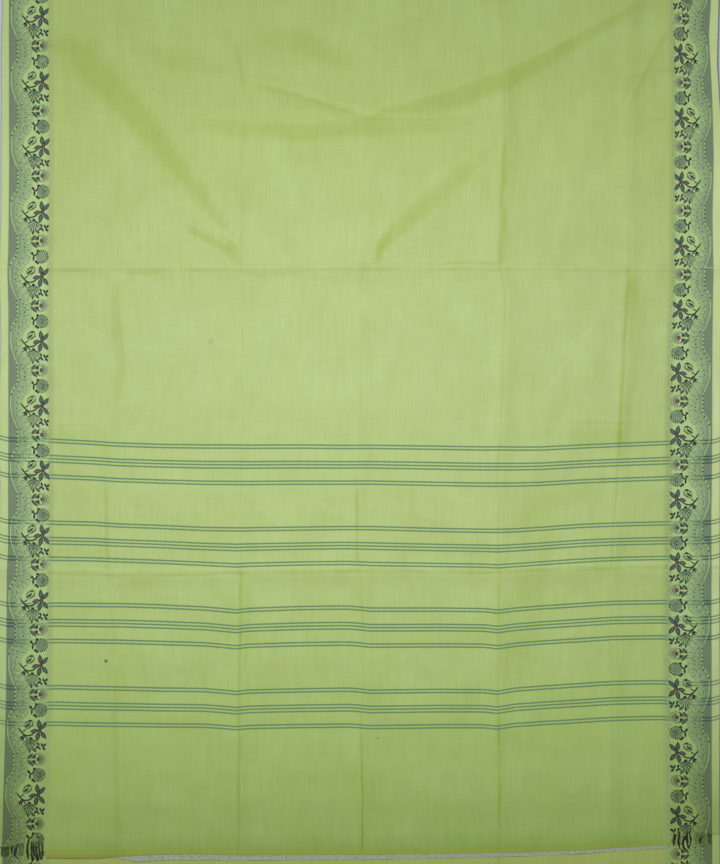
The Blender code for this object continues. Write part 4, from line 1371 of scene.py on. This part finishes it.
fringes = {  # span across the cloth, yarns, lengths, then how the yarns gather and hang
    "bandYarnsLeft": {
        "node": "fringe_left", "tone": "looseBand", "span": (-0.5600, -0.5458), "count": 40,
        "lengths": (13 * mm, 15 * mm), "radius": 0.40 * mm, "sway": 1.0 * mm, "bundle": 3.3 * mm,
        "start": 0.0, "pull": 0.35, "uneven": 0.10, "overlap": 2 * mm, "seed": 3},
    "laceYarnsLeft": {
        "node": None, "tone": "looseGrey", "span": (-0.5436, -0.5244), "count": 40,
        "lengths": (15 * mm, 21 * mm), "radius": 0.38 * mm, "sway": 2.0 * mm, "bundle": 4.7 * mm,
        "start": 0.0, "pull": 0.45, "uneven": 0.2, "overlap": 4 * mm, "seed": 4},
    "flowerYarnsLeft": {
        "node": None, "tone": "looseLace", "span": (-0.5130, -0.4950), "count": 18,
        "lengths": (17 * mm, 19 * mm), "radius": 0.36 * mm, "sway": 2.0 * mm, "bundle": 3.9 * mm,
        "start": 1.0 * mm, "pull": 0.4, "uneven": 0.25, "overlap": 5 * mm, "seed": 14},
    "bandYarnsRight": {
        "node": "fringe_right", "tone": "looseBandPale", "span": (0.5425, 0.5484), "count": 20,
        "lengths": (15 * mm, 16 * mm), "radius": 0.40 * mm, "sway": 1.2 * mm, "bundle": 3.3 * mm,
        "start": 0.0, "pull": 0.40, "uneven": 0.12, "overlap": 3 * mm, "seed": 5},
    "laceYarnsRight": {
        "node": None, "tone": "looseLace", "span": (0.5228, 0.5398), "count": 32,
        "lengths": (19 * mm, 17 * mm), "radius": 0.38 * mm, "sway": 1.8 * mm, "bundle": 4.9 * mm,
        "start": 0.0, "pull": 0.4, "uneven": 0.2, "overlap": 4 * mm, "seed": 6},
    "bareWarpEnds": {
        "node": "fringe_middle", "tone": "bareWarp", "span": (-0.3860, 0.4800), "count": 1500,
        "lengths": (9.4 * mm, 4.6 * mm), "radius": 0.36 * mm, "sway": 0.3 * mm, "bundle": 3.0 * mm,
        "start": 0.0, "pull": 0.05, "uneven": 0.04, "overlap": 0.0, "taper": 0.05, "seed": 9},
}
tufts = {  # bundles that stand out in the loose ends: places across and up, and half width, all in mm
    "darkTuftsLeft": {"yarns": 9, "seed": 21, "tone": "looseDark", "lines": (
        ((-534.3, -642.1, 1.1), (-535.4, -647.4, 1.2), (-537.1, -651.3, 1.4), (-538.8, -656.8, 2.2),
         (-538.7, -661.1, 1.4)),
        ((-538.8, -659.9, 0.8), (-535.9, -663, 0.8), (-533.2, -665.8, 0.6)),
        ((-542.9, -646.6, 1.1), (-542.9, -651.3, 1.1), (-542.6, -656, 0.8)),
        ((-518.4, -639.6, 1.4), (-519.2, -649, 1.7), (-519, -658.3, 1.7), (-517, -666.1, 1.1)),
        ((-512.3, -638.8, 1.1), (-512.9, -649, 1.2), (-512.3, -658.3, 1.2), (-511.4, -664.6, 1.9),
         (-511.2, -669.2, 1.2)),
        ((-508.9, -641.9, 0.9), (-509.2, -652.1, 1.2), (-507.6, -660.7, 0.9)),
        ((-505, -645.1, 1.1), (-505.4, -653.6, 1.2), (-502.9, -661.4, 1.7), (-503.4, -668.6, 1.7)),
        ((-501.1, -640.4, 0.9), (-500.4, -652.1, 1.1), (-499.2, -661.4, 0.9), (-498.9, -666.1, 0.9)),
        ((-495.8, -641.9, 1.1), (-496.1, -652.1, 1.2), (-496.5, -661.4, 1.1), (-496.7, -666.9, 1.1)),
        ((-510.1, -652.1, 0.6), (-505.4, -663, 0.6)),
    )},
    "greenTuftsLeft": {"yarns": 6, "seed": 22, "tone": "looseGreen", "lines": (
        ((-546.5, -638, 0.8), (-546.2, -647.4, 0.9), (-545.8, -656.8, 0.9), (-547.6, -664.6, 0.8),
         (-551, -670, 0.6)),
        ((-523.2, -642.7, 0.9), (-524, -652.1, 1.1), (-522.6, -658.3, 1.1), (-519.8, -664.6, 0.9),
         (-519.2, -669.2, 0.6)),
        ((-514.8, -639.6, 0.9), (-515.9, -647.4, 1.2), (-516.4, -655.2, 1.2), (-514.8, -663, 1.1),
         (-513.2, -667.7, 0.6)),
        ((-502.3, -649, 0.5), (-501.9, -656.8, 0.5)),
        ((-498.1, -644.3, 0.5), (-497.8, -655.2, 0.5)),
    )},
    "darkTuftsRight": {"yarns": 9, "seed": 23, "tone": "looseDark", "lines": (
        ((491.7, -627.6, 1.4), (490.8, -633.4, 1.6), (489.8, -639.6, 1.4), (489.5, -645.1, 1.1)),
        ((499, -626.3, 1.6), (497.6, -633.4, 1.6), (497.3, -639.6, 1.7), (498.1, -649, 1.2)),
        ((506.1, -630.2, 1.2), (505, -638, 1.7), (505.1, -645.8, 1.9), (506.4, -650.5, 1.2)),
        ((510.1, -623.2, 1.2), (510.3, -633.4, 1.6), (510.1, -641.2, 1.6), (512, -648.6, 0.9)),
        ((514.2, -623.2, 1.2), (515.1, -630.2, 1.2), (515.9, -636.5, 1.6), (516, -640.2, 1.1)),
        ((516, -639.6, 0.6), (514, -645.8, 0.6), (513.2, -650.5, 0.5)),
        ((534.5, -624.8, 0.8), (532.6, -631.8, 0.9), (530.7, -637.3, 1.6), (530.7, -640.5, 0.8)),
    )},
    "greenTuftsRight": {"yarns": 6, "seed": 24, "tone": "looseGreen", "lines": (
        ((495, -630.2, 0.8), (493.9, -638, 1.1), (493.3, -645.8, 0.9), (491.1, -649.7, 0.6)),
        ((502.3, -627.1, 0.8), (501.4, -636.5, 0.9), (501.1, -644.3, 0.9), (502.3, -651.3, 0.6)),
        ((518.2, -621.7, 0.9), (519.2, -630.2, 1.4), (519.9, -638, 1.4), (518.9, -645.1, 0.9)),
        ((522, -638, 1.2), (522.6, -645.8, 1.1)),
        ((540.7, -619.3, 0.5), (540.2, -627.1, 0.5), (541, -636.5, 0.5), (541.6, -644.3, 0.5)),
    )},
}
yarnTree = yarnRow()
fringePieces = []
for name, fringe in fringes.items():
    x = np.linspace(*fringe["span"], looseYarn["edgePoints"])
    y, z = [np.interp(x, endRow[:, 0], endRow[:, k]) for k in (1, 2)]
    piece = newLines(name, np.stack([x, y, z], axis=1).tolist(), [(i, i + 1) for i in range(len(x) - 1)])
    runTree(piece, yarnTree, {
        "Count": fringe["count"], "Left Length": fringe["lengths"][0], "Right Length": fringe["lengths"][1],
        "Radius": fringe["radius"], "Sway": fringe["sway"], "Bundle Pitch": fringe["bundle"],
        "Bundle Start": fringe["start"], "Bundle Pull": fringe["pull"], "Uneven": fringe["uneven"],
        "Drop": looseYarn["drop"], "Taper": fringe.get("taper", 0.0), "Overlap": fringe["overlap"],
        "Seed": fringe["seed"], "Material": makeYarnMaterial(name, yarns[fringe["tone"]], 0.4)})
    fringePieces.append((piece, fringe))
    print("yarns", name, len(piece.data.polygons), "faces")

bundleTree = tuftTree()
for name, tuft in tufts.items():
    points, links, widths = [], [], []
    for line in tuft["lines"]:
        for i, (across, up, halfWidth) in enumerate(line):
            end, top = [float(np.interp(across * mm, endRow[:, 0], endRow[:, k])) for k in (1, 2)]
            drop = tuftYarn["drop"] * min(1, max(0, (end - up * mm) / tuftYarn["dropRun"]))
            points.append((across * mm, up * mm, top + tuftYarn["rise"] - drop))
            widths.append(halfWidth * mm)
            if i:
                links.append((len(points) - 2, len(points) - 1))
    piece = newLines(name, points, links)
    addAttribute(piece.data, "halfWidth", np.array(widths))
    runTree(piece, bundleTree, {
        "Yarns": tuft["yarns"], "Radius": tuftYarn["radius"], "Sway": tuftYarn["sway"], "Seed": tuft["seed"],
        "Material": makeYarnMaterial(name, yarns[tuft["tone"]], 0.4)})
    fringePieces.append((piece, {"node": None, "tone": tuft["tone"]}))
    print("tufts", name, len(piece.data.polygons), "faces")

thickness = sareeCloth.modifiers.new("thickness", "SOLIDIFY")
thickness.thickness = cloth["thickness"]
thickness.offset = 0.0

# Floor, light and camera

studio = {
    "floorHalf": 6.0,
    "floorDrop": 0.1 * mm,
    "floor": shown(196, 205, 216),
    "cameraHeight": 3.0,
    "frameHeight": 1.3478,  # height of cloth that the picture takes in
    "sensor": 36.0,
    "ambient": 0.22,
}
half, drop = studio["floorHalf"], studio["floorDrop"]
floorMaterial, floorShader, _ = newMaterial("studioFloor", 0.95)
floorShader.inputs["Base Color"].default_value = studio["floor"]
floorCorners = [(-half, -half, -drop), (half, -half, -drop), (half, half, -drop), (-half, half, -drop)]
floor = newPiece("studioFloor", floorCorners, [(0, 1, 2, 3)], floorMaterial)

lamps = {  # kind, place, aim, size, power, colour
    "softBox": ("AREA", (-0.10, 0.26, 1.55), (-0.05, 0.14, 0), 0.7, 15.6, (1.0, 1.0, 1.0)),
    "keyLight": ("SUN", (-0.8, 1.5, 1.6), (0, 0, 0), 0.30, 0.75, (1.0, 0.985, 0.95)),
}
for name, (kind, place, aim, size, power, colour) in lamps.items():
    light = bpy.data.lights.new(name, kind)
    if kind == "AREA":
        light.size = size
    else:
        light.angle = size
    light.energy, light.color = power, colour
    lamp = bpy.data.objects.new(name, light)
    lamp.location = place
    lamp.rotation_euler = (Vector(aim) - Vector(place)).to_track_quat("-Z", "Y").to_euler()
    bpy.context.scene.collection.objects.link(lamp)
world = bpy.data.worlds.new("studioAir")
world.use_nodes = True
world.node_tree.nodes["Background"].inputs["Color"].default_value = (0.93, 0.97, 1.0, 1.0)
world.node_tree.nodes["Background"].inputs["Strength"].default_value = studio["ambient"]
bpy.context.scene.world = world
bpy.context.scene.view_settings.view_transform = "Standard"

lens = bpy.data.cameras.new("overhead")
lens.sensor_width = studio["sensor"]
clothTop = cloth["pitch"] * (cloth["layers"] - 1)
lens.lens = studio["sensor"] * (studio["cameraHeight"] - clothTop) / studio["frameHeight"]
camera = bpy.data.objects.new("overhead", lens)
camera.location = (0, 0, studio["cameraHeight"])
bpy.context.scene.collection.objects.link(camera)
bpy.context.scene.camera = camera

# Frame

floor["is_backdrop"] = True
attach(sareeCloth, "root")
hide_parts("sari_cloth")
for piece in wovenPieces:
    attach(piece, "root")
for piece, fringe in fringePieces:
    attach(piece, "root")
    if fringe["node"]:
        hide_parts(fringe["node"])
    "bare_warp" if fringe["tone"] == "bareWarp" else "border_yarn"
wovenPieces + [piece for piece, _ in fringePieces]

low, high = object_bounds()
print("visual box", [round(high[i] - low[i], 4) for i in range(3)],
      "cad box", [round(cadHigh[i] - cadLow[i], 4) for i in range(3)])
